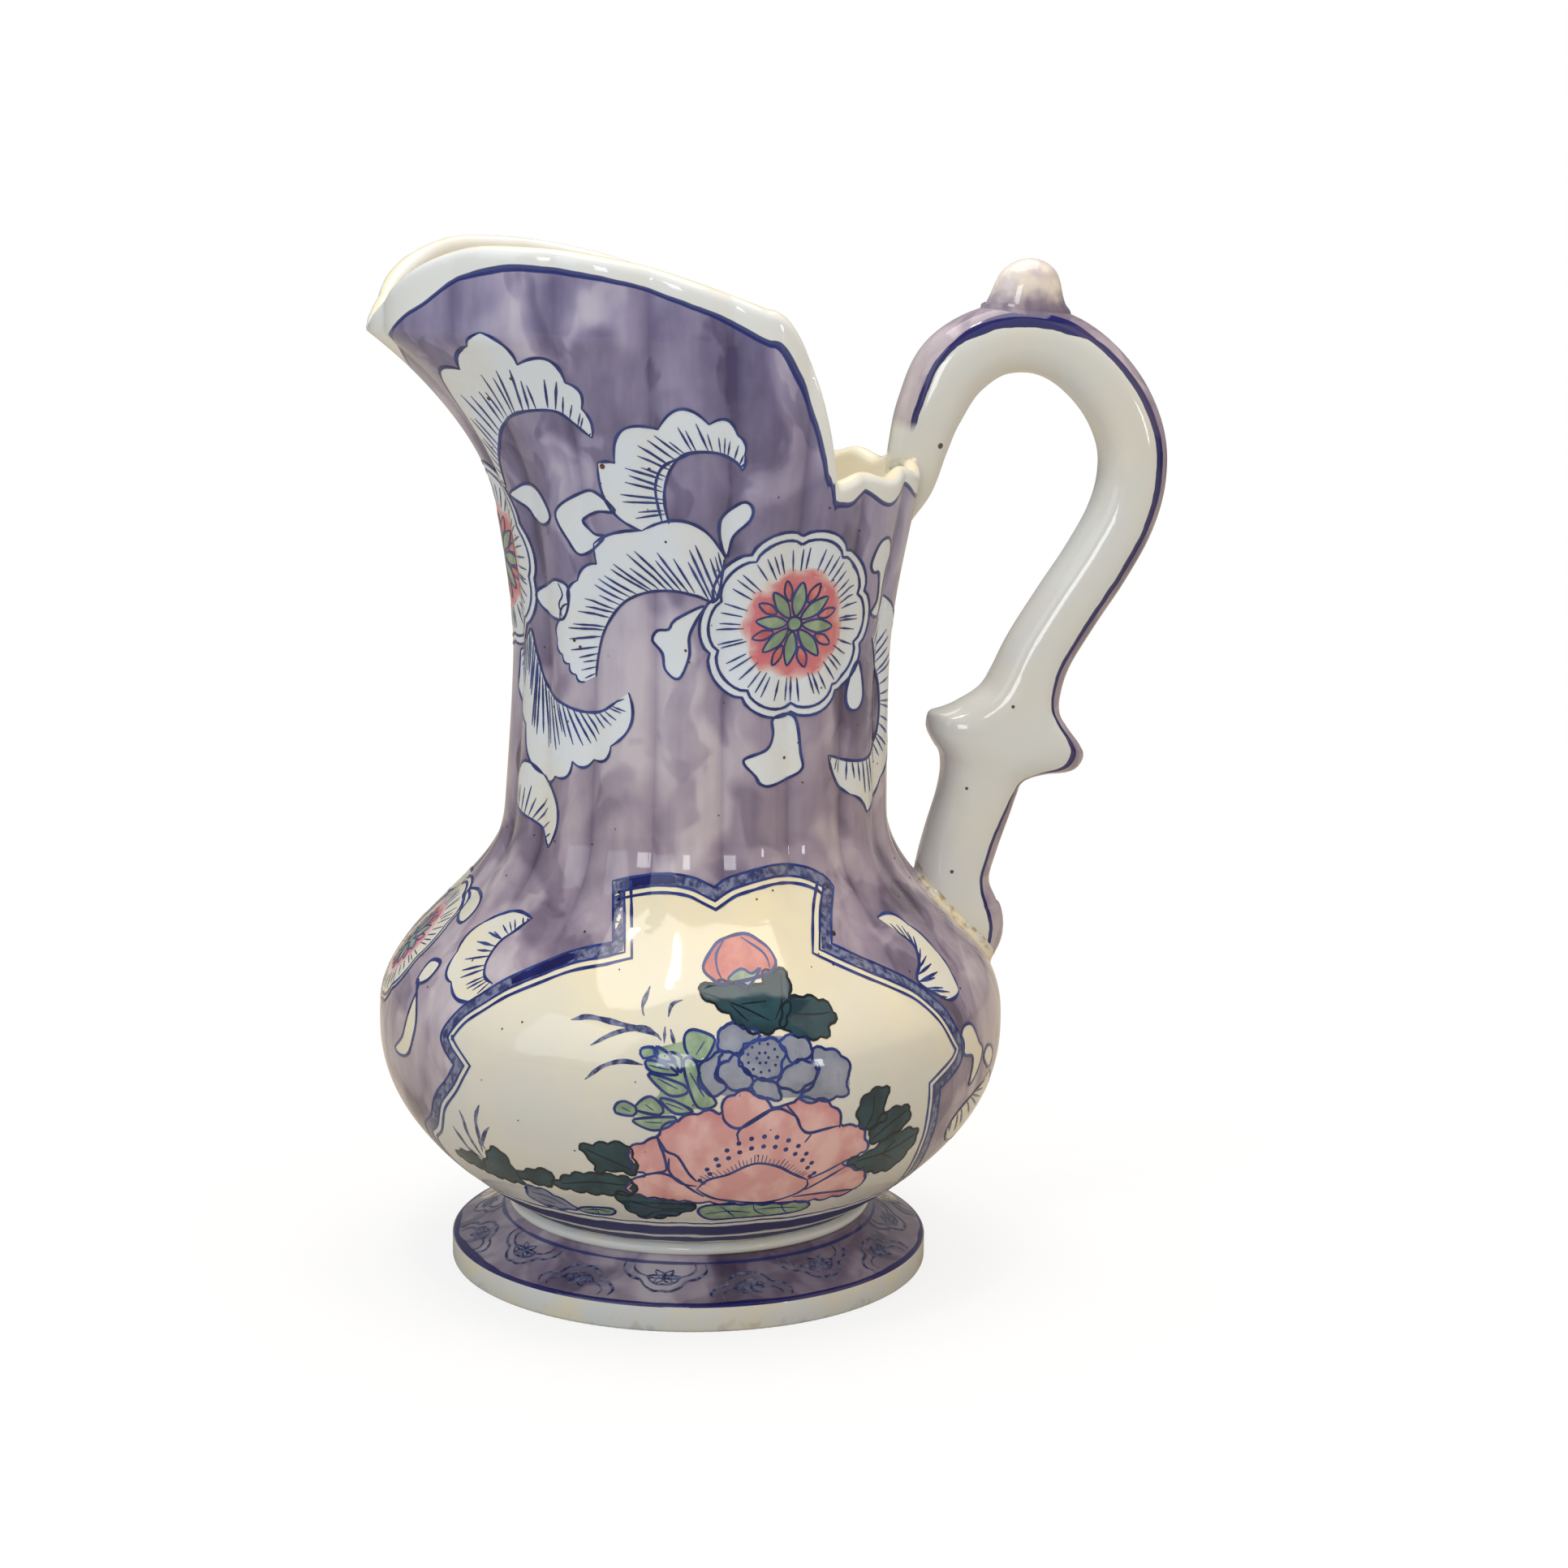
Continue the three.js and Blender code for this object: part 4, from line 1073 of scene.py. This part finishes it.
# Medallions on the foot, hanging from the bead and standing on the edge by turns, each with a small flower.
MEDALLIONS = 16
MEDALLION_HALF_WIDTH = 10
MEDALLION_DEPTH = 8.2
MEDALLION_FIRST_TURN = 15
MEDALLION_INNER = 0.74
FLOWER_PETALS = 6
FOOT_LINE = 0.5
FOOT_OUTER_LINE = FOOT_LINE * 1.4
corner = [(-1, 0), (-1.05, 0.26), (-0.84, 0.5), (-0.58, 0.6), (-0.46, 0.8), (-0.2, 0.98), (0, 0.96)]
medallion = corner + [(-across, up) for across, up in corner[-2::-1]]
for number in range(MEDALLIONS):
    turn = MEDALLION_FIRST_TURN + 360 / MEDALLIONS * number
    way = 1 if number % 2 else -1
    rest = -(FOOT_RADIUS - 2) if way > 0 else -(BEAD_LINE_RADIUS + 0.4)
    core = (turn, rest + way * MEDALLION_DEPTH * 0.45)
    for share, line in ((1, FOOT_OUTER_LINE), (MEDALLION_INNER, FOOT_LINE)):
        wide, deep = MEDALLION_HALF_WIDTH * share, way * MEDALLION_DEPTH * share
        edge = brushed([beside((turn, rest), across * wide, up * deep) for across, up in medallion])
        stroke(front.coats["border"], edge, line)
    for petal in range(FLOWER_PETALS):
        aim = math.tau * (petal + 0.5) / FLOWER_PETALS
        reaches = ((1, 0), (2.3, 0.4), (4.4, 0), (2.3, -0.4))
        places = [(reach, aim + lean) for reach, lean in reaches]
        edge = ringed([beside(core, far * math.sin(to), 0.5 * far * math.cos(to)) for far, to in places])
        stroke(front.coats["border"], edge + edge[:1], FOOT_LINE, 1)
    dot(front.coats["border"], core, 1.1)

# Iron specks burnt out of the clay: the ones that show most, then a scatter of fine ones.
for place, size in (
    ((122.5, 212.3), 1.4), ((110.5, 212), 0.8), ((151, 227), 0.9), ((141, 232.5), 0.7), ((137, 168.5), 0.9),
    ((135, 167), 0.8), ((101, 168), 0.7), ((71, 141), 0.8), ((106.5, 194.5), 0.6), ((64, 99), 1.2),
):
    dot(sides.coats["iron"], place, size)
for _ in range(SPECKS):
    dot(sides.coats["iron"], (rand.uniform(5, 175), 30 + 185 * rand.random()), rand.uniform(0.25, 0.55))


def enamel(name, deep, pale, grain=6, edge=0.0, lit_heights=None):
    """A brushed colour under the glaze, deeper at its edges where more paint was left, or paling upward as
    painted light.
    """
    material, coords = begin(name)
    tone = speckle(coords, grain, 3, 1.4).rise(0.36, 0.66)
    # Paling with height paints light on the upper part of a coat and shade on its lower part.
    if lit_heights:
        tone = 0.25 * tone + 0.75 * split(coords)[1].rise(*lit_heights)
    tone = tone * (1 - edge) + edge * layer(coords, "within")
    return glazed(material, coords, tone.over(paint(deep), paint(pale)))


FINISHES = {colour: enamel(*look) for colour, (_, *look) in PAINTS.items()}
for drawing, where in ((sides, "side"), (front, "front")):
    for colour, coat in drawing.coats.items():
        if coat.faces:
            lay(coat, PAINTS[colour][0], drawing is sides)
            slot = "mauve_glaze" if colour in DARK_PAINTS else "white_glaze"
            piece(coat, f"{where}_{colour}_paint", FINISHES[colour], slot, crease=40)
        else:
            coat.free()

# The handle
# A curved porcelain strap with a loop above the rim, a knuckle and a spur half way down and a small terminal,
# pressed in a mould and luted to the vessel at both ends. Its back is washed in mauve between two blue lines.
HANDLE_RISE = 31.6
HANDLE_REACH = 56.25
HANDLE_HALF_DEPTH = 8.7
HANDLE_HALF_WIDTH = 8.8
HANDLE_FOOT_HEIGHT = 92
KNUCKLE_BULGE = 10.5
SPUR_BULGE = 12
TERMINAL_BULGE = 5
HANDLE_SQUARENESS = 0.8
HANDLE_ROOT = neck_profile(NOTCH_HEIGHT) + NECK_SET_BACK
SHOULDER_SEAT = neck_profile(HANDLE_FOOT_HEIGHT)
LIMB_REACH = HANDLE_ROOT + HANDLE_REACH - SHOULDER_SEAT
LIMB_DROP = NOTCH_HEIGHT - HANDLE_FOOT_HEIGHT
HANDLE_ROWS_PER_STATION = 7
HANDLE_COLUMNS = 48
HANDLE_BITE = 2.6
STRIP_TURN = [(0, 58), (14, 58), (17.5, 40), (20, 40), (23, 55), (28, 55)]

# Shares of the reach and the rise along the loop's middle line, then of half the depth on the hollow side and
# on the back, and of half the width.
LOOP_STATIONS = [
    (-0.07, -0.44, 0.2, 0.6, 0.7),
    (-0.02, -0.18, 0.5, 0.9, 0.9),
    (0.015, 0.145, 0.7, 1, 0.95),
    (0.055, 0.435, 0.88, 1.04, 1),
    (0.15, 0.758, 1, 1.14, 1),
    (0.32, 0.968, 1, 1.06, 1),
    (0.525, 1, 1, 1, 1),
    (0.715, 0.866, 1, 1, 1),
    (0.885, 0.575, 1, 1, 1),
    (0.984, 0.226, 1, 1, 1),
]

# Shares of the way out from the shoulder and down to it along the limb's middle line, of half the depth and
# half the width, then of the knuckle, the spur and the terminal.
LIMB_STATIONS = [
    (1, 0.03, 1, 1, 0, 0, 0),
    (0.942, 0.123, 1, 1, 0, 0, 0),
    (0.81, 0.221, 1, 1, 0, 0, 0),
    (0.64, 0.323, 1, 1, 0, 0, 0),
    (0.488, 0.421, 1.02, 1, 0, 0, 0),
    (0.41, 0.494, 1.08, 1.03, 0, 0.05, 0),
    (0.362, 0.534, 1.1, 1.06, 0.04, 0.4, 0),
    (0.32, 0.574, 1.12, 1.08, 0.4, 0.95, 0),
    (0.284, 0.613, 1.12, 1.08, 0.95, 1.05, 0),
    (0.248, 0.647, 1.12, 1.08, 0.95, 0.5, 0),
    (0.214, 0.681, 1.1, 1.06, 0.55, 0.03, 0),
    (0.182, 0.711, 1.1, 1.04, 0.22, 0, 0),
    (0.135, 0.762, 1.12, 1.04, 0.05, 0, 0),
    (0.062, 0.847, 1.12, 1.06, 0, 0, 0),
    (0.015, 0.923, 1.1, 1.08, 0, 0, 0.05),
    (0.005, 0.991, 1.05, 1.1, 0, 0, 0.7),
    (0.02, 1.051, 1, 1.1, 0, 0, 1),
    (-0.02, 1.11, 0.95, 1, 0, 0, 0.5),
    (-0.08, 1.16, 0.8, 0.8, 0, 0, 0),
]
handle_places = []
handle_sizes = []
for out, rise, hollow, back, width in LOOP_STATIONS:
    handle_places.append(Vector((HANDLE_ROOT + out * HANDLE_REACH, 0, NOTCH_HEIGHT + rise * HANDLE_RISE)))
    depths = (hollow * HANDLE_HALF_DEPTH, back * HANDLE_HALF_DEPTH)
    handle_sizes.append(Vector((*depths, width * HANDLE_HALF_WIDTH)))
for out, drop, depth, width, knuckle, spur, terminal in LIMB_STATIONS:
    handle_places.append(Vector((SHOULDER_SEAT + out * LIMB_REACH, 0, NOTCH_HEIGHT - drop * LIMB_DROP)))
    hollow = depth * HANDLE_HALF_DEPTH + knuckle * KNUCKLE_BULGE
    back = depth * HANDLE_HALF_DEPTH + spur * SPUR_BULGE + terminal * TERMINAL_BULGE
    handle_sizes.append(Vector((hollow, back, width * HANDLE_HALF_WIDTH)))
HANDLE_LAST = len(handle_places) - 1


def handle_point(at, turn):
    """A point of the handle's skin: at one station, turned from the middle of its back."""
    place = through(handle_places, at)
    size = through(handle_sizes, at)
    step = through(handle_places, min(at + 0.01, HANDLE_LAST)) - through(handle_places, max(at - 0.01, 0))
    back = step.cross(Vector((0, 1, 0))).normalized()
    deep, wide = math.cos(turn), math.sin(turn)
    depth = (size.y if deep > 0 else size.x) * math.copysign(abs(deep) ** HANDLE_SQUARENESS, deep)
    width = size.z * math.copysign(abs(wide) ** HANDLE_SQUARENESS, wide)
    return place + back * depth - Vector((0, width, 0))


def inside_vessel(point):
    """How deep a point lies under the vessel's outer face, below the rim."""
    angle = math.atan2(point.y, point.x)
    if point.z > rim_height(angle) - RIM_ROLL:
        return 0
    return outer_radius(angle, point.z) - math.hypot(point.x, point.y)


handle_rows = HANDLE_LAST * HANDLE_ROWS_PER_STATION + 3


def handle_station(row):
    return share_of(1, handle_rows - 2, row) * HANDLE_LAST


def handle_place(vert, row, turn):
    at = handle_station(row)
    point = through(handle_places, at) if row in (0, handle_rows - 1) else handle_point(at, turn)
    sunk = inside_vessel(point) - HANDLE_BITE
    if sunk > 0:
        angle = math.atan2(point.y, point.x)
        point += sunk * Vector((math.cos(angle), math.sin(angle), 0))
    size = through(handle_sizes, at)
    vert[strip_depth] = (math.radians(along(STRIP_TURN, at)) - abs(turn)) * (size.y + size.z) / 2
    vert[strip_line] = along(STRIP_LINE, at)
    vert[strip_share] = along(STRIP_SHARE, at)
    return point


STRIP_LINE = [(0, 0), (2.2, 0.3), (2.6, 1.9), (4.2, 1.8), (4.8, 3.6), (5.6, 4.8), (6.4, 4.6), (7, 1.8),
              (8, 2.4), (9.5, 2.6), (12, 1.8), (15, 1.2), (17.5, 2.4), (18.6, 1.8), (19.4, 0.2),
              (20.6, 0.6), (22, 1.2), (25, 1.2), (28, 1)]
STRIP_SHARE = [(0, 0), (2.3, 0), (2.6, 1), (28, 1)]
handle = bmesh.new()
strip_depth = handle.verts.layers.float.new("strip_depth")
strip_line = handle.verts.layers.float.new("strip_line")
strip_share = handle.verts.layers.float.new("strip_share")
lump(handle_rows, HANDLE_COLUMNS, handle_place, handle)


def handle_finish():
    material, coords = begin("white_and_mauve_glaze")
    wander = speckle(coords, 5, 2) - 0.5
    tone = 0.3 * speckle(coords, 30, 2).rise(0.35, 0.7)
    colour = tone.over(WHITE_GLAZE, CREAM_GLAZE)
    deep = layer(coords, "strip_depth") + 0.8 * wander
    painted = layer(coords, "strip_share")
    strip = deep.rise(-0.1, 0.15) * painted
    colour = strip.over(colour, mauve_wash(coords, -0.08, 0))
    line = (1 - (abs(deep) - 0.5 * layer(coords, "strip_line")).rise(-0.12, 0.15)) * painted
    colour = (0.95 * line).over(colour, NAVY)
    for place, size in HANDLE_SPECKS:
        away = coords.node("VectorMath", {"operation": "DISTANCE"}, {0: coords, 1: place}, "Value")
        colour = (0.9 * (1 - away.rise(0.7 * size, size))).over(colour, IRON)
    return glazed(material, coords, colour)


IRON = paint("#2c1a1c")
HANDLE_SPECKS = [
    (handle_point(2.1, math.radians(110)), 0.9),
    (handle_point(16.2, math.radians(100)), 0.55),
    (handle_point(21.5, math.radians(115)), 0.5),
    (handle_point(23.8, math.radians(100)), 0.6),
]
piece(handle, "jug_handle", handle_finish(), "white_glaze", "handle")

# The handle's lutings
# Slip pressed into the corner all round each end of the handle and wiped hollow with a wet finger, so the
# handle grows out of the wall. The glaze gathers there and stains a little with use.
LUTE_COLUMNS = 64
LUTE_FACE_STEPS = 7
LUTE_BURIED = 0.9
UPPER_FREE_STATION = 3
LOWER_FREE_STATION = 20
UPPER_FILLET = 3.2
LOWER_FILLET = 2.6


def crossing(turn, first, last):
    """Where one line along the handle's skin comes out of the vessel, from a buried station to a free one."""
    for _ in range(24):
        middle = (first + last) / 2
        if inside_vessel(handle_point(middle, turn)) > 0:
            first = middle
        else:
            last = middle
    return last


def lute(first, last, fillet):
    """A hollow-faced ring of slip round one end of the handle."""
    def place(vert, row, turn):
        at = crossing(turn, first, last)
        corner = handle_point(at, turn)
        away = (handle_point(at + math.copysign(0.05, last - first), turn) - corner).normalized()
        upon = corner + away * fillet
        outward = corner - through(handle_places, at)
        outward -= outward.project(away)
        flat = corner + outward.normalized() * fillet
        angle = math.atan2(flat.y, flat.x)
        flat.z = min(flat.z, rim_height(angle) - RIM_ROLL)
        reach = outer_radius(angle, flat.z)
        flat.x, flat.y = reach * math.cos(angle), reach * math.sin(angle)
        if row > LUTE_FACE_STEPS:
            inward = Vector((math.cos(angle), math.sin(angle), 0))
            return corner - LUTE_BURIED * inward - LUTE_BURIED * outward.normalized()
        share = row / LUTE_FACE_STEPS
        hollow = 2 * share * (1 - share)
        return (1 - share) ** 2 * upon + hollow * corner + share**2 * flat

    bm = spun([(1, row) for row in range(LUTE_FACE_STEPS + 2)], LUTE_COLUMNS)
    shape(bm, place)
    return bm


def lute_finish(name, stain):
    """Cream glaze pooled in a corner, browned in its crevice by stain."""
    material, coords = begin(name)
    tone = speckle(coords, 6, 3).rise(0.3, 0.6)
    colour = tone.over(WHITE_GLAZE, CREAM_GLAZE)
    colour = (stain * speckle(coords, 2.5, 3).rise(0.48, 0.66)).over(colour, STAIN)
    return glazed(material, coords, colour)


upper_lute = lute(0, UPPER_FREE_STATION, UPPER_FILLET)
upper_finish = lute_finish("cream_pooled_glaze", 0.15)
piece(upper_lute, "upper_luting", upper_finish, "luting_slip", "upper_handle_luting", crease=60)
lower_lute = lute(HANDLE_LAST, LOWER_FREE_STATION, LOWER_FILLET)
lower_finish = lute_finish("stained_pooled_glaze", 0.7)
piece(lower_lute, "lower_luting", lower_finish, "luting_slip", "lower_handle_luting", crease=60)

# The thumb knob
# A pinched bud of porcelain on top of the handle for the thumb, moulded apart and luted on with slip.
# It is brushed with mauve, which runs off its top and pools dark at its base.
knob_low, knob_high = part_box("thumb_knob")
KNOB_BASE = knob_low.z / MM
KNOB_HEIGHT = knob_high.z / MM - KNOB_BASE
KNOB_HALF_LENGTH = 12.25
KNOB_HALF_WIDTH = 6.6
KNOB_PLACE = 0.472
KNOB_MIDDLE = HANDLE_ROOT + KNOB_PLACE * HANDLE_REACH
KNOB_LEAN = 1.2
KNOB_ROWS_PER_LEVEL = 4
KNOB_COLUMNS = 48
KNOB_PALE = paint("#eee4da")

# Shares of the knob's height, half length and half width, from its foot in the handle to its top.
KNOB_LEVELS = [
    Vector((-0.36, 0.98, 0.9)),
    Vector((-0.12, 1, 0.99)),
    Vector((0, 0.96, 1)),
    Vector((0.12, 0.85, 0.97)),
    Vector((0.32, 0.76, 0.92)),
    Vector((0.55, 0.68, 0.86)),
    Vector((0.75, 0.57, 0.75)),
    Vector((0.9, 0.38, 0.52)),
    Vector((0.98, 0.17, 0.24)),
    Vector((1, 0, 0)),
]
knob_rows = (len(KNOB_LEVELS) - 1) * KNOB_ROWS_PER_LEVEL + 2


def knob_place(vert, row, turn):
    up, long, wide = through(KNOB_LEVELS, max(0, row - 1) / KNOB_ROWS_PER_LEVEL)
    spread = 0 if row in (0, knob_rows - 1) else 1
    out = KNOB_MIDDLE + KNOB_LEAN * up + spread * KNOB_HALF_LENGTH * long * math.cos(turn)
    across = spread * KNOB_HALF_WIDTH * wide * math.sin(turn)
    return Vector((out, across, KNOB_BASE + KNOB_HEIGHT * min(up, 1)))


def knob_finish():
    material, coords = begin("pale_mauve_glaze")
    height = split(coords)[1]
    pale = (0.7 * speckle(coords, 6, 2).rise(0.4, 0.65)).over(KNOB_PALE, MAUVES[0])
    thin = (height + 6 * (speckle(coords, 4, 2) - 0.5)).rise(KNOB_BASE + 1, KNOB_BASE + 7)
    colour = thin.over(mauve_wash(coords, -0.06, 0), pale)
    return glazed(material, coords, colour)


knob_glaze = knob_finish()
piece(lump(knob_rows, KNOB_COLUMNS, knob_place), "thumb_bud", knob_glaze, "mauve_glaze", "thumb_knob")

# The knob's luting
# A thin fillet of porcelain slip that fixes the knob on the handle's crown. It is wiped hollow all round the
# knob's foot and lies under the same mauve wash.
KNOB_LUTE_STEPS = 6
KNOB_LUTE_RISE = 1.6
KNOB_LUTE_SPREAD = 1.5
KNOB_LUTE_LENGTH = 0.93
KNOB_LUTE_WIDTH = 0.96
CROWN_STATIONS = [step / 20 for step in range(70, 160)]


def crown_height(out, across):
    """The height of the handle's crown under one point."""
    best = min(CROWN_STATIONS, key=lambda at: abs(through(handle_places, at).x - out))
    size = through(handle_sizes, best)
    share = min(1, abs(across) / size.z) ** (1 / HANDLE_SQUARENESS)
    return through(handle_places, best).z + size.y * math.sqrt(1 - share * share) ** HANDLE_SQUARENESS


def knob_lute_place(vert, row, turn):
    long, wide = KNOB_HALF_LENGTH * math.cos(turn), KNOB_HALF_WIDTH * math.sin(turn)
    foot = Vector((KNOB_MIDDLE + long * KNOB_LUTE_LENGTH, wide * KNOB_LUTE_WIDTH, 0))
    spread = Vector((long, wide, 0)).normalized() * KNOB_LUTE_SPREAD
    top = foot.copy()
    foot.z = crown_height(foot.x, foot.y)
    top.z = foot.z + KNOB_LUTE_RISE
    edge = foot + spread
    edge.z = crown_height(edge.x, edge.y) - 0.1
    if row > KNOB_LUTE_STEPS:
        return foot - spread * 0.6 - Vector((0, 0, LUTE_BURIED))
    share = row / KNOB_LUTE_STEPS
    return (1 - share) ** 2 * top + 2 * share * (1 - share) * foot + share**2 * edge


knob_lute = spun([(1, row) for row in range(KNOB_LUTE_STEPS + 2)], KNOB_COLUMNS)
shape(knob_lute, knob_lute_place)
piece(knob_lute, "knob_fillet", knob_glaze, "luting_slip", "knob_luting", crease=60)

# The floor, light and camera
# A pale floor under white daylight: broad soft lights above and in front, with the window and the lamps that
# the glaze mirrors. The camera looks down from a little above the jug's top, turned ten degrees.
FLOOR_SIZE = 40
CAMERA_PLACE = Vector((-119.4, -811.6, 287.2))
CAMERA_PITCH = math.radians(11.11)
CAMERA_TURN = math.radians(10)
CAMERA_ROLL = math.radians(0.9)
CAMERA_LENS = 74.37

floor = bmesh.new()
bmesh.ops.create_grid(floor, x_segments=2, y_segments=2, size=FLOOR_SIZE / 2)
floor_mesh = bpy.data.meshes.new("studio_floor")
floor.to_mesh(floor_mesh)
floor.free()
floor_finish = bpy.data.materials.new("studio_floor_paint")
floor_finish.use_nodes = True
floor_nodes = Wire(floor_finish.node_tree)


def seen_white(start, share):
    """share for a ray that shows the background straight to the camera, and 0 for the rest."""
    return share * start.node("LightPath", out="Is Camera Ray")


spread = floor_nodes.node("TexCoord", out="Object")
spread = spread.node("VectorMath", {"operation": "LENGTH"}, {0: spread}, "Value")
plain = floor_nodes.node("BsdfDiffuse", None, {"Color": (0.55, 0.5, 0.42, 1)})
white = floor_nodes.node("BsdfDiffuse", None, {"Color": (0.95, 0.95, 0.95, 1)})
bright = floor_nodes.node("Emission", None, {"Color": (1, 1, 1, 1), "Strength": 1})
shown = floor_nodes.node("MixShader", None, {0: 0.8 + 0.2 * spread.rise(0.15, 0.7), 1: white, 2: bright})
mixed = floor_nodes.node("MixShader", None, {0: seen_white(floor_nodes, 1), 1: plain, 2: shown})
output = floor_finish.node_tree.nodes["Material Output"]
floor_finish.node_tree.links.new(mixed.socket, output.inputs["Surface"])
floor_mesh.materials.append(floor_finish)
floor_object = bpy.data.objects.new("studio_floor", floor_mesh)
bpy.context.collection.objects.link(floor_object)

world = bpy.data.worlds.new("studio_world")
bpy.context.scene.world = world
world.use_nodes = True
world_nodes = Wire(world.node_tree)
background = world.node_tree.nodes["Background"]
background.inputs["Color"].default_value = (1, 1, 1, 1)
strength = 0.28 + seen_white(world_nodes, 0.72)
world.node_tree.links.new(strength.socket, background.inputs["Strength"])

middle = Vector((AXIS_X, 0, 0.13))


def soft_light(name, place, size, power, colour=(1, 1, 1), tall=1):
    """A light panel that looks at the middle of the jug, placed in metres from it."""
    lamp = bpy.data.lights.new(name, "AREA")
    lamp.shape = "RECTANGLE"
    lamp.size = size
    lamp.size_y = size * tall
    lamp.energy = power
    lamp.color = colour
    holder = bpy.data.objects.new(name, lamp)
    holder.location = middle + Vector(place)
    holder.rotation_euler = (-Vector(place)).to_track_quat("-Z", "Y").to_euler()
    bpy.context.collection.objects.link(holder)


soft_light("window_light", (-1.7, -1.2, 1), 1.6, 13, (0.8, 0.91, 1))
soft_light("room_light", (1.5, -0.6, 0.9), 1.5, 5, (1, 0.76, 0.46))
soft_light("ceiling_light", (0, 0.1, 1.8), 1.8, 37, (1, 0.95, 0.87))
soft_light("window_pane", (-0.5, -2, 0.55), 0.44, 6, (0.94, 0.97, 1), 1.3)
soft_light("side_pane", (1.2, -1.6, 0.15), 0.12, 1.2, (0.96, 0.98, 1), 2)
soft_light("ceiling_lamp", (-0.21, -0.41, 1.4), 0.07, 0.8, (1, 0.88, 0.66))
soft_light("second_lamp", (-0.29, -0.44, 1.38), 0.07, 0.8, (1, 0.88, 0.66))

camera_data = bpy.data.cameras.new("photo_camera")
camera_data.lens = CAMERA_LENS
camera_data.sensor_width = 36
camera = bpy.data.objects.new("photo_camera", camera_data)
forward = Vector((
    math.sin(CAMERA_TURN) * math.cos(CAMERA_PITCH),
    math.cos(CAMERA_TURN) * math.cos(CAMERA_PITCH),
    -math.sin(CAMERA_PITCH),
))
right = Vector((math.cos(CAMERA_TURN), -math.sin(CAMERA_TURN), 0))
up = right.cross(forward)
tilted_right = math.cos(CAMERA_ROLL) * right + math.sin(CAMERA_ROLL) * up
tilted_up = math.cos(CAMERA_ROLL) * up - math.sin(CAMERA_ROLL) * right
turn = Matrix((tilted_right, tilted_up, -forward)).transposed()
camera_place = CAMERA_PLACE * MM + Vector((AXIS_X, 0, 0))
camera.matrix_world = Matrix.LocRotScale(camera_place, turn.to_quaternion(), None)
bpy.context.collection.objects.link(camera)
bpy.context.scene.camera = camera
bpy.context.scene.view_settings.view_transform = "Standard"
